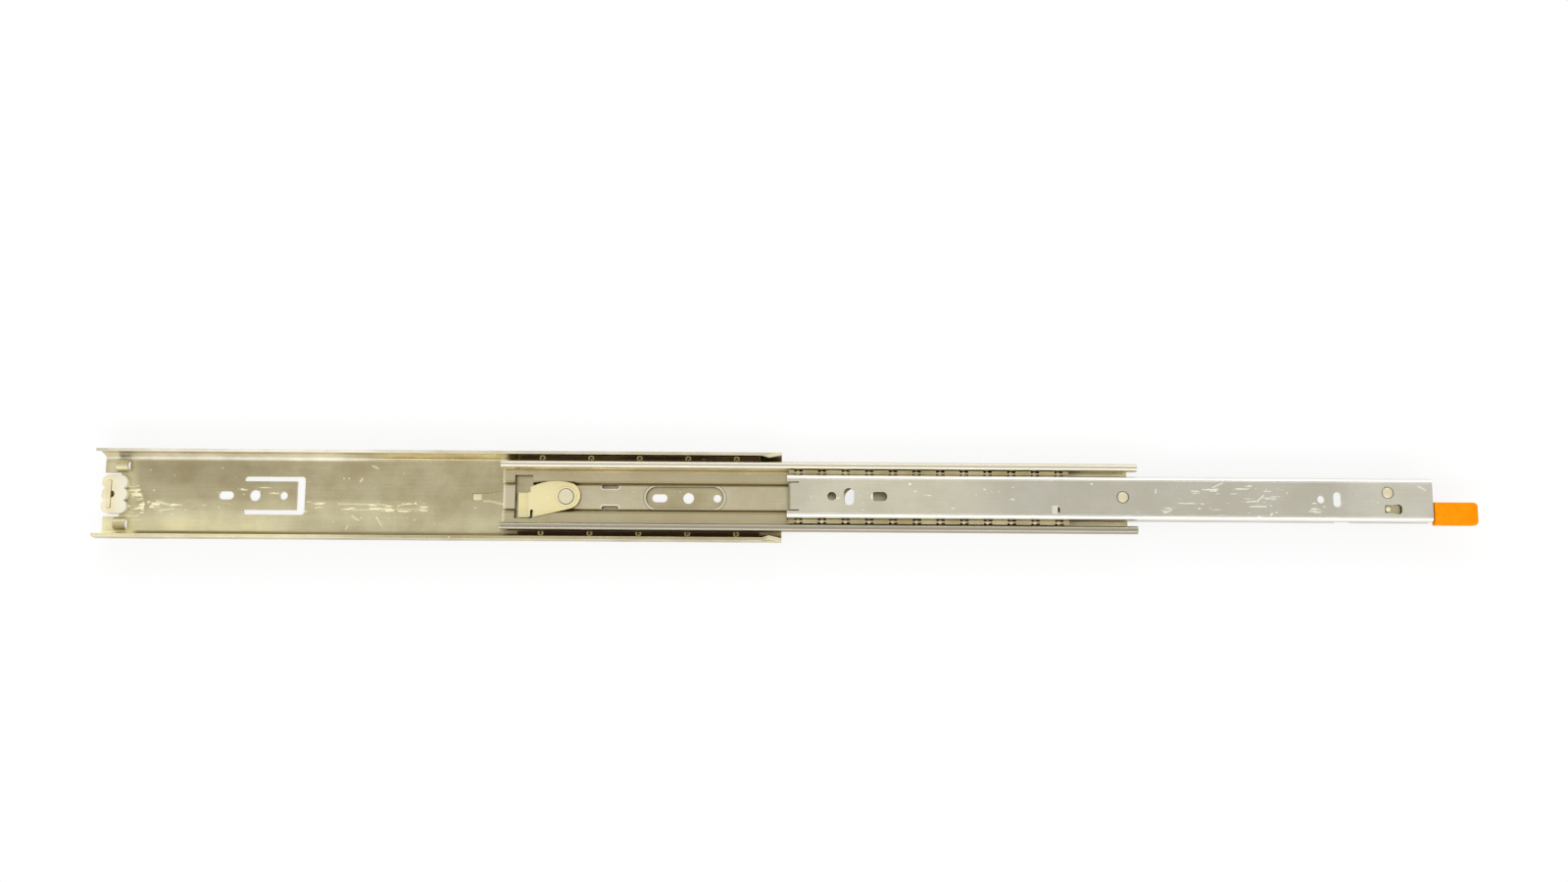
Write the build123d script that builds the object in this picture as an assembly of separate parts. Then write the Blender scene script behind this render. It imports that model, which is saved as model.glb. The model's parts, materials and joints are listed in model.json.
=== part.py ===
from build123d import *
import math
import os

# Telescopic ball-bearing drawer slide of three rolled steel members, drawn out to its full length.
# X runs along the slide with the front at +X, Y runs across the rails, Z is the thickness.
# The cabinet member lies with its back on Z = 0. The origin is halfway between its two main
# screw holes, on that back face. All sizes are in millimetres. Bend radii and corner places of
# bent sheet are along the middle of the sheet.

# Clearances
WORK_GAP = 0.4              # air between pieces that pass each other
RIVET_GAP = 0.1             # air between a fixed shank and its hole
BALL_PLAY = 0.15            # air between a ball and each raceway
CAGE_PLAY = 0.2             # air between a ball and its window
CAGE_AIR = 0.4              # air between a cage flange and the rails beside it
CAGE_END_AIR = 1.25         # air between a cage and the pressed lip ends that stop it
PRESS_LEAN = 0.8            # sides of shallow pressings run in this far for each mm of depth
CUT_OVER = 1.0              # cutting shapes run this far past the sheet

# Cabinet member
CAB_LENGTH = 400.0
CAB_WIDTH = 53.0            # over the creases of the two flanges
CAB_SHEET = 1.8
CAB_BEND = 2.2
CAB_LEAN = 2.4              # each flange leans out by this much up to its crease
CAB_LIP_IN = 0.7            # and back in by this much up to its edge
CAB_LIP_RISE = 7.2          # outer ball line to the edge of the lip
HOLE_SPACING = 256.0        # between the two main screw holes
REAR_MARGIN = 89.0          # rear end to the rear main hole
GROUP_PITCH = 17.0          # slot to main hole to pilot hole in each screw group
MAIN_HOLE_D = 6.4
PILOT_HOLE_D = 4.6
ADJUST_SLOT = 9.0           # length of the adjusting slot
ADJUST_SLOT_W = 4.8
TONGUE_WIDTH = 22.5         # over the U-shaped cut that frees the main and pilot holes
TONGUE_SLIT = 2.8           # width of the two long slits
TONGUE_END_SLIT = 4.8       # width of the slit across the end
TONGUE_LEAD = 6.5           # main hole to the open end of the U
TONGUE_TAIL = 7.7           # pilot hole to the free end of the tongue
TONGUE_CORNER = 1.9
ARROW_TIP = 0.2             # origin to the blunt tip of the pressed arrow
ARROW_LENGTH = 25.0
ARROW_WIDTH = 11.4          # across its wide end
ARROW_NECK = 10.5           # length of its slim neck
ARROW_NECK_WIDTH = 5.2
ARROW_NUB = 3.6             # length of the highest stretch, at the tip
ARROW_RISE = 1.0            # the nub stands this far above the web
ARROW_FALL = 0.6            # the wide end lies this much lower than the nub
ARROW_WALL = 0.8            # the hollow at the back is smaller all round by this much
ARROW_HOLLOW = 0.9          # depth of that hollow
STEM_AIR = 0.8              # wide end to the stem behind it
STEM_LENGTH = 9.0
STEM_WIDTH = 3.5
D_STOP_SETBACK = 20.0       # front end to the flat side of the D-shaped lance
D_STOP_R = 5.0
D_STOP_RISE = 0.4
PINCH_LENGTH = 11.5         # front lip ends pressed in, then flared, to stop the ball cage
PINCH_POINT = 7.5           # front end to the narrowest place
PINCH_IN = 1.2
PINCH_OUT = 0.4
PINCH_RISE = 3.2            # ball line to the foot of the pressed stretch

# Closing stops and bumper at the rear of the cabinet member
BUMP_SETBACK = 11.0         # rear end to the middle of the lanced closing stops
BUMP_IN = 6.0               # foot of the flange to the middle of each stop
BUMP_LENGTH = 7.0
BUMP_WIDTH = 7.5
BUMP_RISE = 4.2
BUMP_SHEET = 1.3
LOBE_PITCH = 7.2            # between the lobes of the bumper's scalloped edges
LOBE_R = 4.2
BUMPER_LENGTH = 15.0
BUMPER_HEIGHT = 3.4         # above the web
BUMPER_FOOT = 0.3           # the foot stays this far above the back face
BUMPER_FIT = 0.15           # air round the blade, the neck and the notch
NOTCH_DEPTH = 9.5           # notch in the rear edge that takes the bumper
NOTCH_SIDE = 1.6            # the notch is wider than the bumper by this much on each side
BLADE_SETBACK = 3.6         # rear end to the blade that holds the bumper
BLADE_WIDTH = 16.0
BLADE_PROUD = 0.8           # the blade stands this far above the bumper
NECK_WIDTH = 7.0            # strip that joins the blade to the web

# Intermediate member
MID_LENGTH = 371.0
MID_OVERLAP = 164.0         # length of it inside the cabinet member, drawn out
MID_SHEET = 1.5
BEND = 1.3
BEAD_FLAT = 14.6            # flat width of the central bead
BEAD_DEPTH = 1.6            # the bead stands this far towards the cabinet
BEAD_SLOPE = 1.8            # width of each sloping side of the bead
BEAD_GAP = 1.6              # air between the cabinet web and the bead
GROOVE_FOOT = 3.55          # web to the outer ball line
MID_GROOVE = 1.3            # depth of the outer raceway
MID_LIP_RISE = 7.5          # outer ball line to the top of the lip
LIP_WIDTH = 4.6             # flat lip on top of each flange
RACE_DEPTH = 0.6            # depth of the inner raceway in the lip's folded edge
RACE_BEND = 1.1             # bend radius where a raceway runs into its wall
RACE_STRAIGHT = 0.39        # straight stretch between a raceway and that bend
FLARE_LENGTH = 9.0          # rear ends of the flanges pressed outwards to stop the ball cage
FLARE_OUT = 1.5
LANCE_START = 58.0          # rear end to the two lanced slots beside the bead
LANCE_LENGTH = 10.0
LANCE_WIDTH = 2.2
LANCE_IN = 1.1              # edge of the bead to the middle of each slot
SCREW_WINDOW_LEAD = 2.0     # front main hole back to the middle of the screw window
SCREW_WINDOW_END = 6.0      # window beyond the slot and the pilot hole
SCREW_WINDOW_SIDE = 3.4     # window beside the main hole
FRONT_WINDOW = 148.0        # flange fronts to the middle of the bridged window
FRONT_WINDOW_LENGTH = 44.0
FRONT_WINDOW_WIDTH = 12.6
FRONT_BRIDGE = 10.6
MID_CUTBACK = 31.0          # the web stops this far short of the flange fronts
CUTBACK_HALF = 11.4         # half width of the stretch that is cut back
FLOOR_SETBACK = 4.0         # the floor left beside it stops this far short of them
MID_SEAM = 14.0             # the web and flange nodes part on this line

# Catch arm riveted to the front of the intermediate member
ARM_SHEET = 1.2
ARM_TAIL = 28.5             # end of the web to the rear end of the arm
ARM_HALF = 5.8
ARM_REACH = 4.0             # tip of the arm beyond the flange fronts
ARM_EAR_HALF = 8.0          # small ears just behind the end of the web
ARM_EAR_LENGTH = 4.5
ARM_JOGGLE = 10.5           # end of the web to the start of the joggle
ARM_JOGGLE_LENGTH = 2.6
ARM_LIFT = 2.2              # the tip lies this much nearer the drawer member
ARM_CHAMFER = 3.0
ARM_RIVETS = (22.3, 10.6)   # end of the web to the two rivets
ARM_RIVET_D = 4.0
ARM_RIVET_HEAD_D = 6.4
RIVET_HEAD = 0.8            # height of a rivet head
STUD_SETBACK = 1.2          # flange fronts to the catch stud
STUD_D = 4.8
STUD_HEAD_D = 8.2

# Sequence latch on the intermediate member
LATCH_PIVOT = 37.5          # rear end to the latch pivot
LATCH_SHANK_D = 5.0
LATCH_HEAD_D = 8.6
LATCH_SHEET = 1.2
LATCH_TAIL = 28.5           # pivot to the end of the tail
LATCH_HEEL = 20.9           # pivot to the step where the tail begins
LATCH_TAIL_TOP = 2.4        # side edges of the tail, across from the pivot
LATCH_TAIL_FOOT = -12.2
LATCH_HEEL_RISE = 3.0       # body above the tail at the heel
LATCH_BACK = 8.8            # highest edge of the body
LATCH_BROW = (4.1, 7.6)     # ends of the rounded nose, from the pivot
LATCH_CHIN = (2.7, -7.0)
LATCH_NOSE = 8.2            # pivot to the front of the nose
LATCH_TOE = 2.4             # heel to where the lower edge turns level
LATCH_RELIEF = 1.7          # width of the relief slot at the foot of the bend
LATCH_RELIEF_DEPTH = 4.4
LATCH_RING_D = 12.0         # pressed ring round the pivot's head
LATCH_RING_WIDTH = 1.2
LATCH_RING_RISE = 0.4
WINDOW_REAR = 2.0           # latch window beyond the tail, at its rear, front and sides
WINDOW_FRONT = 1.0
WINDOW_SIDE = 0.7

# Drawer member
DRAWER_LENGTH = 375.0
DRAWER_OVERLAP = 204.0      # length of it inside the intermediate member, drawn out
DRAWER_SHEET = 1.5
DRAWER_BEND = 2.0
DRAWER_GROOVE = 0.95        # depth of its raceway
DRAWER_HEM = 0.15           # straight edge below the raceway
FACE_PROUD = 2.2            # lip of the intermediate member to the face of this one
TAB_HALF = 8.5              # rear edge of the web rolled down as a tripping tab
TAB_BEND = 3.4
TAB_ROOT = 7.0              # rear end to where the web is slit for the tab
TAB_AIR = 0.7               # lower edge of the tab above the mechanism's floor
ROUND_HOLE = 26.0           # rear end to the screw holes and slots at the rear
ROUND_HOLE_D = 5.2
UPRIGHT_SLOT = 36.0
UPRIGHT_SLOT_LENGTH = 10.0
UPRIGHT_SLOT_W = 6.0
LEVEL_SLOT = 53.5
LEVEL_SLOT_LENGTH = 9.6
LEVEL_SLOT_W = 5.6
SMALL_HOLE = 65.0           # front end to the screw holes and slots at the front
SMALL_HOLE_D = 4.2
FRONT_SLOT = 55.5
FRONT_SLOT_LENGTH = 8.6
FRONT_SLOT_W = 4.6
DIMPLE = 219.0              # front end to the small pressed dimple
DIMPLE_Y = -7.0
DIMPLE_SIZE = 4.6
DIMPLE_CORNER = 0.8
DIMPLE_DEPTH = 0.7
DIMPLE_SLIT = 1.1           # slit along its front edge
SIGHT_WINDOW = 23.0         # front end to the small keyed window
SIGHT_WINDOW_Y = -5.4
SIGHT_WINDOW_LENGTH = 10.2
SIGHT_WINDOW_WIDTH = 5.8
SIGHT_WINDOW_CORNER = 2.0
SIGHT_KEY_LENGTH = 4.4      # slimmer rear end of the window
SIGHT_KEY_WIDTH = 4.8
FLANGE_NOTCH = 50.5         # front end to the notch in the lever side's flange
FLANGE_NOTCH_LENGTH = 8.6
FLANGE_NOTCH_DEPTH = 6.0
STOP_RIVET_BACK = 9.0       # flange fronts of the intermediate member back to the stop rivet
STOP_RIVET_Y = 0.6
STOP_RIVET_D = 4.4
STOP_HEAD_D = 6.2
FACE_HEAD = 0.7             # rivet heads are sunk this far, flush with the face
SEAT_RING = 0.6             # open ring of the seat round each sunk head
HEAD_CROWN = 0.4            # rise of a head's dome from its rim to its middle

# Lock lever, its post and its cap
POST_SETBACK = 26.0         # front end to the post
POST_Y = 4.2
POST_NECK_D = 4.0           # riveted through the drawer web
POST_SHOULDER_D = 7.0       # the lever turns on this shoulder
POST_DISC = 1.1             # thickness of the disc that holds the spring up
POST_DISC_RIM = 0.3         # the disc reaches this far beyond the spring
POST_FACE_HEAD_D = 6.2
LEVER_SHEET = 1.5
LEVER_GAP = 1.1             # air between the drawer web and the lever
LEVER_SIDE_AIR = 0.55       # air between the flange and the lever's long edge
LEVER_TAIL = 4.5            # peg to the tail of the lever
LEVER_TAIL_WIDTH = 8.1
LEVER_TAIL_LEAD = 3.0       # dog pivot back to the front of the wide tail
LEVER_SLIM = 3.5            # width of the slim stretches
LEVER_RAISED_WIDTH = 9.9
LEVER_RAISED_LEAD = 10.0    # dog pivot to the raised stretch in front of it
LEVER_RAISED_SHARE = 0.415  # the raised stretch takes this much of the way to the front ramp
LEVER_RAMP = 7.0
LEVER_FRONT_RAMP = 47.0
LEVER_NECK_WIDTH = 8.9
LEVER_TONGUE_WIDTH = 7.7    # tongue inside the cap
LEVER_ROUND = 2.2
LEVER_EAR_D = 11.6          # ear that turns on the post
LEVER_PIN_D = 3.0           # pin of the lever that shows in the small window
LEVER_PIN_DOWN = 0.5        # it ends this far below the face
CAP_GAP = 1.0               # front end of the rail to the cap
CAP_LENGTH = 25.5
CAP_SIDE_UPPER = 2.0        # cap beside the tongue, towards the middle of the slide
CAP_SIDE_LOWER = 3.7        # and towards its edge
CAP_WALL = 1.8              # cap above and below the tongue
CAP_END = 4.5               # solid front end of the cap
CAP_CORNER = 2.6
CAP_EDGE = 0.9

# Torsion spring round the post
SPRING_WIRE_D = 1.0
SPRING_TURNS = 2
SPRING_ROOM = 0.9           # air between the turns and the post
SPRING_AIR = 0.2            # air between the turns and what lies above and below them
SPRING_HOOK = 49.0          # front end of the rail to the hook in the lever
SPRING_HOOK_BEND = 1.2
SPRING_SHORT_LEG = 11.4
HOOK_HOLE = 0.5             # air round the hook in the lever
ANCHOR_AHEAD = 2.2          # end of the short leg to the slanting tab that it bears on
ANCHOR_LENGTH = 13.5
ANCHOR_TURN = -38.6

# Lock dog that the lever's peg tips aside
DOG_SHEET = 1.2
DOG_LENGTH = 22.5
DOG_WIDTH = 10.4
DOG_CORNER = 1.1
DOG_LEAD = 14.0             # flange fronts of the intermediate member to the dog's pivot
DOG_PIVOT_Y = -1.2
DOG_PIVOT_D = 3.2
DOG_HEAD_D = 5.2
DOG_NOSE = 17.6             # pivot to the nose that faces the catch stud
DOG_TURN = -8.0             # the dog rests at a slant
PEG_ARM = 11.5              # dog pivot back to the peg under the lever's tail
PEG_IN = 6.1                # long edge of the lever to the peg
PEG_D = 3.0
PEG_PLAY = 0.8

# Balls and cages
OUTER_BALL_D = 5.2
OUTER_BALLS = 5
OUTER_BALL_MARGIN = 13.7    # end of the cage to its first ball
INNER_BALL_D = 4.4
INNER_BALLS = 12
INNER_BALL_MARGIN = 5.6
INNER_CAGE_LENGTH = 163.0
INNER_CAGE_LEAD = 1.0       # rear end of the drawer member to the cage
CAGE_SHEET = 0.9
CAGE_EDGE = 0.7             # cage strip beyond the ball, above and below
SIGHT_HOLE_D = 2.2          # hole in the outer cage's flange above each ball
INNER_NOTCH = 5.0           # opening in the inner cage's flange above each ball

# Places along the slide
CAB_REAR = -(REAR_MARGIN + HOLE_SPACING / 2)
CAB_FRONT = CAB_REAR + CAB_LENGTH
MID_REAR = CAB_FRONT - MID_OVERLAP
MID_FRONT = MID_REAR + MID_LENGTH
WEB_END = MID_FRONT - MID_CUTBACK
DRAWER_REAR = MID_FRONT - DRAWER_OVERLAP
DRAWER_FRONT = DRAWER_REAR + DRAWER_LENGTH
STOP_RIVET = DRAWER_FRONT - MID_FRONT + STOP_RIVET_BACK
DOG_PIVOT = DRAWER_FRONT - MID_FRONT - DOG_LEAD
LEVER_RAISED_REAR = DOG_PIVOT - LEVER_RAISED_LEAD
LEVER_RAISED_FRONT = LEVER_RAISED_REAR - LEVER_RAISED_SHARE * (LEVER_RAISED_REAR - LEVER_FRONT_RAMP)
OUTER_CAGE_REAR = MID_REAR + FLARE_LENGTH + CAGE_END_AIR
OUTER_CAGE_LENGTH = MID_OVERLAP - FLARE_LENGTH - PINCH_LENGTH - 2 * CAGE_END_AIR
INNER_CAGE_REAR = DRAWER_REAR + INNER_CAGE_LEAD

# Places across the slide, worked inwards from the cabinet member through the balls
OUTER_R = OUTER_BALL_D / 2
INNER_R = INNER_BALL_D / 2
CAB_FLOOR_HALF = CAB_WIDTH / 2 - CAB_SHEET / 2 - CAB_LEAN
OUTER_BALL_Y = CAB_WIDTH / 2 - CAB_SHEET - BALL_PLAY - OUTER_R
MID_WIDTH = 2 * (OUTER_BALL_Y - OUTER_R - BALL_PLAY + MID_GROOVE)
INNER_BALL_Y = MID_WIDTH / 2 - LIP_WIDTH + RACE_DEPTH - INNER_R - BALL_PLAY
DRAWER_WIDTH = 2 * (INNER_BALL_Y - INNER_R - BALL_PLAY + DRAWER_GROOVE)
LEVER_EDGE = -(DRAWER_WIDTH / 2 - DRAWER_SHEET - LEVER_SIDE_AIR)
CAB_SEAM = CAB_FLOOR_HALF - CAB_BEND
DRAWER_SEAM = DRAWER_WIDTH / 2 - DRAWER_SHEET / 2 - DRAWER_BEND


def race_turn(radius, depth, bend):
    """Angle through which a raceway of this depth turns before it bends back to its wall."""
    return math.acos(1 - depth / (radius + bend))


def race_rise(radius, depth, bend):
    """Ball line to the corner where a raceway meets its wall."""
    turn = race_turn(radius, depth, bend)
    return (radius + bend) * math.sin(turn) - bend * math.tan(turn / 2) + RACE_STRAIGHT


def race_run(radius, depth, bend):
    """Ball line to where the wall is straight again."""
    return race_rise(radius, depth, bend) + bend * math.tan(race_turn(radius, depth, bend) / 2)


# Raceway radii along the middle of each sheet
CAB_RACE_R = OUTER_R + BALL_PLAY + CAB_SHEET / 2
GROOVE_R = OUTER_R + BALL_PLAY + MID_SHEET / 2
RACE_R = INNER_R + BALL_PLAY + MID_SHEET / 2
DRAWER_RACE_R = INNER_R + BALL_PLAY + DRAWER_SHEET / 2
GROOVE_RISE = race_rise(GROOVE_R, MID_GROOVE, RACE_BEND)
RACE_RISE = race_rise(RACE_R, RACE_DEPTH, RACE_BEND)
DRAWER_RISE = race_rise(DRAWER_RACE_R, DRAWER_GROOVE, RACE_BEND)

# Heights, worked upwards from the back face
BEAD_BACK = CAB_SHEET + BEAD_GAP
MID_BACK = BEAD_BACK + BEAD_DEPTH
MID_FLOOR = MID_BACK + MID_SHEET
OUTER_BALL_LEVEL = MID_BACK + MID_SHEET / 2 + GROOVE_FOOT
CAB_HEIGHT = OUTER_BALL_LEVEL + CAB_LIP_RISE
LIP_HEIGHT = OUTER_BALL_LEVEL + MID_LIP_RISE
INNER_BALL_LEVEL = LIP_HEIGHT - MID_SHEET / 2 - BEND - race_run(RACE_R, RACE_DEPTH, RACE_BEND)
DRAWER_FACE = LIP_HEIGHT + FACE_PROUD
WEB_UNDER = DRAWER_FACE - DRAWER_SHEET
DRAWER_EDGE = INNER_BALL_LEVEL - race_run(DRAWER_RACE_R, DRAWER_GROOVE, RACE_BEND) - DRAWER_HEM
BUMPER_TOP = CAB_SHEET + BUMPER_HEIGHT
LATCH_BASE = MID_FLOOR + WORK_GAP
LATCH_TAIL_BASE = BEAD_BACK + WORK_GAP
LATCH_HEAD_BASE = LATCH_BASE + LATCH_SHEET + WORK_GAP / 2
STUD_TOP = LATCH_HEAD_BASE + RIVET_HEAD
MECHANISM_FLOOR = STUD_TOP + WORK_GAP
LEVER_TOP = WEB_UNDER - LEVER_GAP
LEVER_BASE = LEVER_TOP - LEVER_SHEET
POST_DISC_TOP = MECHANISM_FLOOR + POST_DISC
DOG_BASE = MECHANISM_FLOOR + RIVET_HEAD + WORK_GAP / 2


def mid_x(from_rear):
    return MID_REAR + from_rear


def drawer_x(from_front):
    return DRAWER_FRONT - from_front


def section_plane(x):
    """Plane across the slide: local x is Y, local y is Z, and it faces +X."""
    return Plane(origin=(x, 0, 0), x_dir=(0, 1, 0), z_dir=(1, 0, 0))


def offset_corners(points, distance):
    """Corner points of an open polyline moved sideways, to the left for a positive distance."""
    moved = []
    for i, point in enumerate(points):
        before = points[max(i - 1, 0)]
        after = points[min(i + 1, len(points) - 1)]
        into = (point - before).normalized() if i > 0 else (after - point).normalized()
        out = (after - point).normalized() if i < len(points) - 1 else into
        normal_in = Vector(-into.Y, into.X)
        normal_out = Vector(-out.Y, out.X)
        miter = (normal_in + normal_out).normalized()
        moved.append(point + miter * (distance / miter.dot(normal_in)))
    return moved


def bend_radii(points, radii, distance):
    """Radius of each bend on the side of the sheet that lies at a distance from its middle."""
    sized = []
    for i, radius in enumerate(radii):
        into = points[i + 1] - points[i]
        out = points[i + 2] - points[i + 1]
        left_turn = into.X * out.Y - into.Y * out.X > 0
        sized.append(radius - distance if left_turn else radius + distance)
    return sized


def rolled_sheet(middle, radii, thickness):
    """Face of a bent sheet from the corner points and bend radii along its middle line."""
    points = [Vector(*p) for p in middle]
    sides = []
    for distance in (thickness / 2, -thickness / 2):
        corners = offset_corners(points, distance)
        sides.append(FilletPolyline(*corners, radius=bend_radii(points, radii, distance)))
    left, right = sides
    ends = [Line(left @ 0, right @ 0), Line(left @ 1, right @ 1)]
    return make_face([*left.edges(), *right.edges(), *[e.edge() for e in ends]])


def rolled_member(half_face, start, length):
    """Both halves of a symmetrical rolled profile, run along X."""
    half = extrude(section_plane(start) * half_face, length, dir=(1, 0, 0))
    return half + mirror(half, Plane.XZ)


def side_strip(face, half_width):
    """Strip bent as seen from the side, with its middle on Y = 0."""
    plane = Plane(origin=(0, half_width, 0), x_dir=(1, 0, 0), z_dir=(0, -1, 0))
    return extrude(plane * face, 2 * half_width, dir=(0, -1, 0))


def upright(sketch, bottom, top):
    """Straight block of a plan sketch between two heights."""
    return extrude(Pos(0, 0, bottom) * sketch, top - bottom, dir=(0, 0, 1))


def disc(x, y, diameter):
    return Pos(x, y) * Circle(diameter / 2)


def pressed(foot, crown, level, rise):
    """Shallow pressing with sloping sides, lofted from its foot plan to its crown plan."""
    pairs = zip(foot.faces().sort_by(Axis.X), crown.faces().sort_by(Axis.X))
    return Part() + [loft([Pos(0, 0, level) * low, Pos(0, 0, level + rise) * high]) for low, high in pairs]


def domed(x, y, diameter, bottom, top):
    """Round head or pin with a low dome on its upper end."""
    radius = diameter ** 2 / (8 * HEAD_CROWN) + HEAD_CROWN / 2
    return upright(disc(x, y, diameter), bottom, top) & Pos(x, y, top - radius) * Sphere(radius)


def slot(x, y, length, width, turn=0.0):
    return Pos(x, y) * Rot(0, 0, turn) * SlotOverall(length, width)


def plate(x0, x1, y0, y1):
    return Pos((x0 + x1) / 2, (y0 + y1) / 2) * Rectangle(x1 - x0, y1 - y0)


def rail_nodes(name, rail, seam):
    """A rolled rail as three nodes, its web and its two flanges, parted where the web ends."""
    box = rail.bounding_box()
    bands = {"_web": (-seam, seam), "_flange_upper": (seam, box.max.Y), "_flange_lower": (box.min.Y, -seam)}
    nodes = {}
    for part, (low, high) in bands.items():
        band = plate(box.min.X - CUT_OVER, box.max.X + CUT_OVER, low, high)
        nodes[name + part] = rail & upright(band, box.min.Z - CUT_OVER, box.max.Z + CUT_OVER)
    return nodes


def half_disc(x, radius):
    return disc(x, 0, 2 * radius) - plate(x - 2 * radius, x, -radius, radius)


def lanced_bridge(x, y, floor):
    """Arched closing stop pressed up out of the web, open at both X ends."""
    rings = []
    for inset in (0.0, BUMP_SHEET):
        left = Vector(y - BUMP_WIDTH / 2 + inset, floor)
        right = Vector(y + BUMP_WIDTH / 2 - inset, floor)
        crown = Vector(y, floor + BUMP_RISE - inset)
        rings.append(make_face([ThreePointArc(left, crown, right), Line(right, left)]))
    plane = section_plane(x - BUMP_LENGTH / 2)
    return extrude(plane * (rings[0] - rings[1]), BUMP_LENGTH, dir=(1, 0, 0))


def groove_corner(before, apex, after, radius):
    """Corner point whose rounding of the given radius just reaches the apex."""
    before, apex, after = Vector(*before), Vector(*apex), Vector(*after)
    corner = apex
    for _ in range(12):
        into = (corner - before).normalized()
        out = (after - corner).normalized()
        half_turn = math.radians(into.get_angle(out)) / 2
        outwards = (into - out).normalized()
        corner = apex + outwards * (radius * (1 / math.cos(half_turn) - 1))
    return (corner.X, corner.Y)


# Cabinet rail

def cabinet_section():
    mid = CAB_SHEET / 2
    floor_end = (CAB_FLOOR_HALF, mid)
    crease = (CAB_WIDTH / 2 - mid, OUTER_BALL_LEVEL)
    lip = (CAB_WIDTH / 2 - mid - CAB_LIP_IN, CAB_HEIGHT)
    corner = groove_corner(floor_end, crease, lip, CAB_RACE_R)
    return rolled_sheet([(0, mid), floor_end, corner, lip], [CAB_BEND, CAB_RACE_R], CAB_SHEET)


def screw_group(x):
    """Adjusting slot, main hole and pilot hole, with the U-shaped cut round the last two."""
    half = TONGUE_WIDTH / 2
    start = x - TONGUE_LEAD
    tip = x + GROUP_PITCH + TONGUE_TAIL
    end = tip + TONGUE_END_SLIT
    frame = RectangleRounded(end - start, TONGUE_WIDTH, TONGUE_CORNER)
    tongue = plate(start - TONGUE_SLIT, tip, TONGUE_SLIT - half, half - TONGUE_SLIT)
    holes = disc(x, 0, MAIN_HOLE_D) + disc(x + GROUP_PITCH, 0, PILOT_HOLE_D)
    holes += slot(x - GROUP_PITCH, 0, ADJUST_SLOT, ADJUST_SLOT_W)
    return (Pos((start + end) / 2, 0) * frame - tongue) + holes


def bumper_blade():
    """Blade turned up from a narrow neck in the rear notch."""
    x = CAB_REAR + BLADE_SETBACK
    neck = plate(x, CAB_REAR + NOTCH_DEPTH, -NECK_WIDTH / 2, NECK_WIDTH / 2)
    foot = plate(x, x + CAB_SHEET, -BLADE_WIDTH / 2, BLADE_WIDTH / 2)
    return upright(neck, 0, CAB_SHEET) + upright(foot, 0, BUMPER_TOP + BLADE_PROUD)


def arrow_plan(inset):
    """Plan of the pressed arrow and its stem, drawn in all round by the inset."""
    tip = ARROW_TIP + inset
    neck = ARROW_TIP + ARROW_NECK
    base = ARROW_TIP + ARROW_LENGTH
    slim = ARROW_NECK_WIDTH / 2 - inset
    wide = ARROW_WIDTH / 2 - inset
    upper = [(tip, slim), (neck, slim), (base - inset, wide)]
    lower = [(x, -y) for x, y in reversed(upper)]
    stem = base + STEM_AIR
    plan = make_face(Polyline(*upper, *lower, close=True))
    half = STEM_WIDTH / 2 - inset
    return plan + plate(stem + inset, stem + STEM_LENGTH - inset, -half, half)


def raised_arrow():
    """Front of the pressed arrow: highest at its blunt tip, falling towards the stem."""
    base = ARROW_TIP + ARROW_LENGTH
    top = CAB_SHEET + ARROW_RISE
    end = base + STEM_AIR + STEM_LENGTH
    side = [(ARROW_TIP, CAB_SHEET), (ARROW_TIP + ARROW_RISE / 2, top), (ARROW_TIP + ARROW_NUB, top)]
    side += [(base, top - ARROW_FALL), (end, top - ARROW_FALL), (end, CAB_SHEET)]
    bottom = [(end, CAB_SHEET / 2), (ARROW_TIP, CAB_SHEET / 2)]
    strip = side_strip(make_face(Polyline(*side, *bottom, close=True)), ARROW_WIDTH)
    return strip & pressed(arrow_plan(0), arrow_plan(PRESS_LEAN * ARROW_RISE), CAB_SHEET, ARROW_RISE)


def pinched_lip():
    """Front end of one lip, pressed in and then flared out."""
    start = CAB_FRONT - PINCH_LENGTH
    line = CAB_WIDTH / 2 - CAB_SHEET / 2 - CAB_LIP_IN
    middle = [(start - CAB_SHEET, line), (start, line)]
    middle += [(CAB_FRONT - PINCH_POINT, line - PINCH_IN), (CAB_FRONT, line + PINCH_OUT)]
    lip = rolled_sheet(middle, [CAB_BEND, CAB_BEND], CAB_SHEET)
    lip &= plate(CAB_REAR, CAB_FRONT, 0, CAB_WIDTH / 2)
    return upright(lip, OUTER_BALL_LEVEL + PINCH_RISE, CAB_HEIGHT)


def notch_half():
    return LOBE_PITCH + LOBE_R + NOTCH_SIDE


def d_stop():
    """D-shaped lance raised a little out of the web."""
    x = CAB_FRONT - D_STOP_SETBACK
    flap = half_disc(x, D_STOP_R) + plate(x - CUT_OVER, x, -D_STOP_R, D_STOP_R)
    return upright(flap, D_STOP_RISE, CAB_SHEET + D_STOP_RISE)


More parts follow.
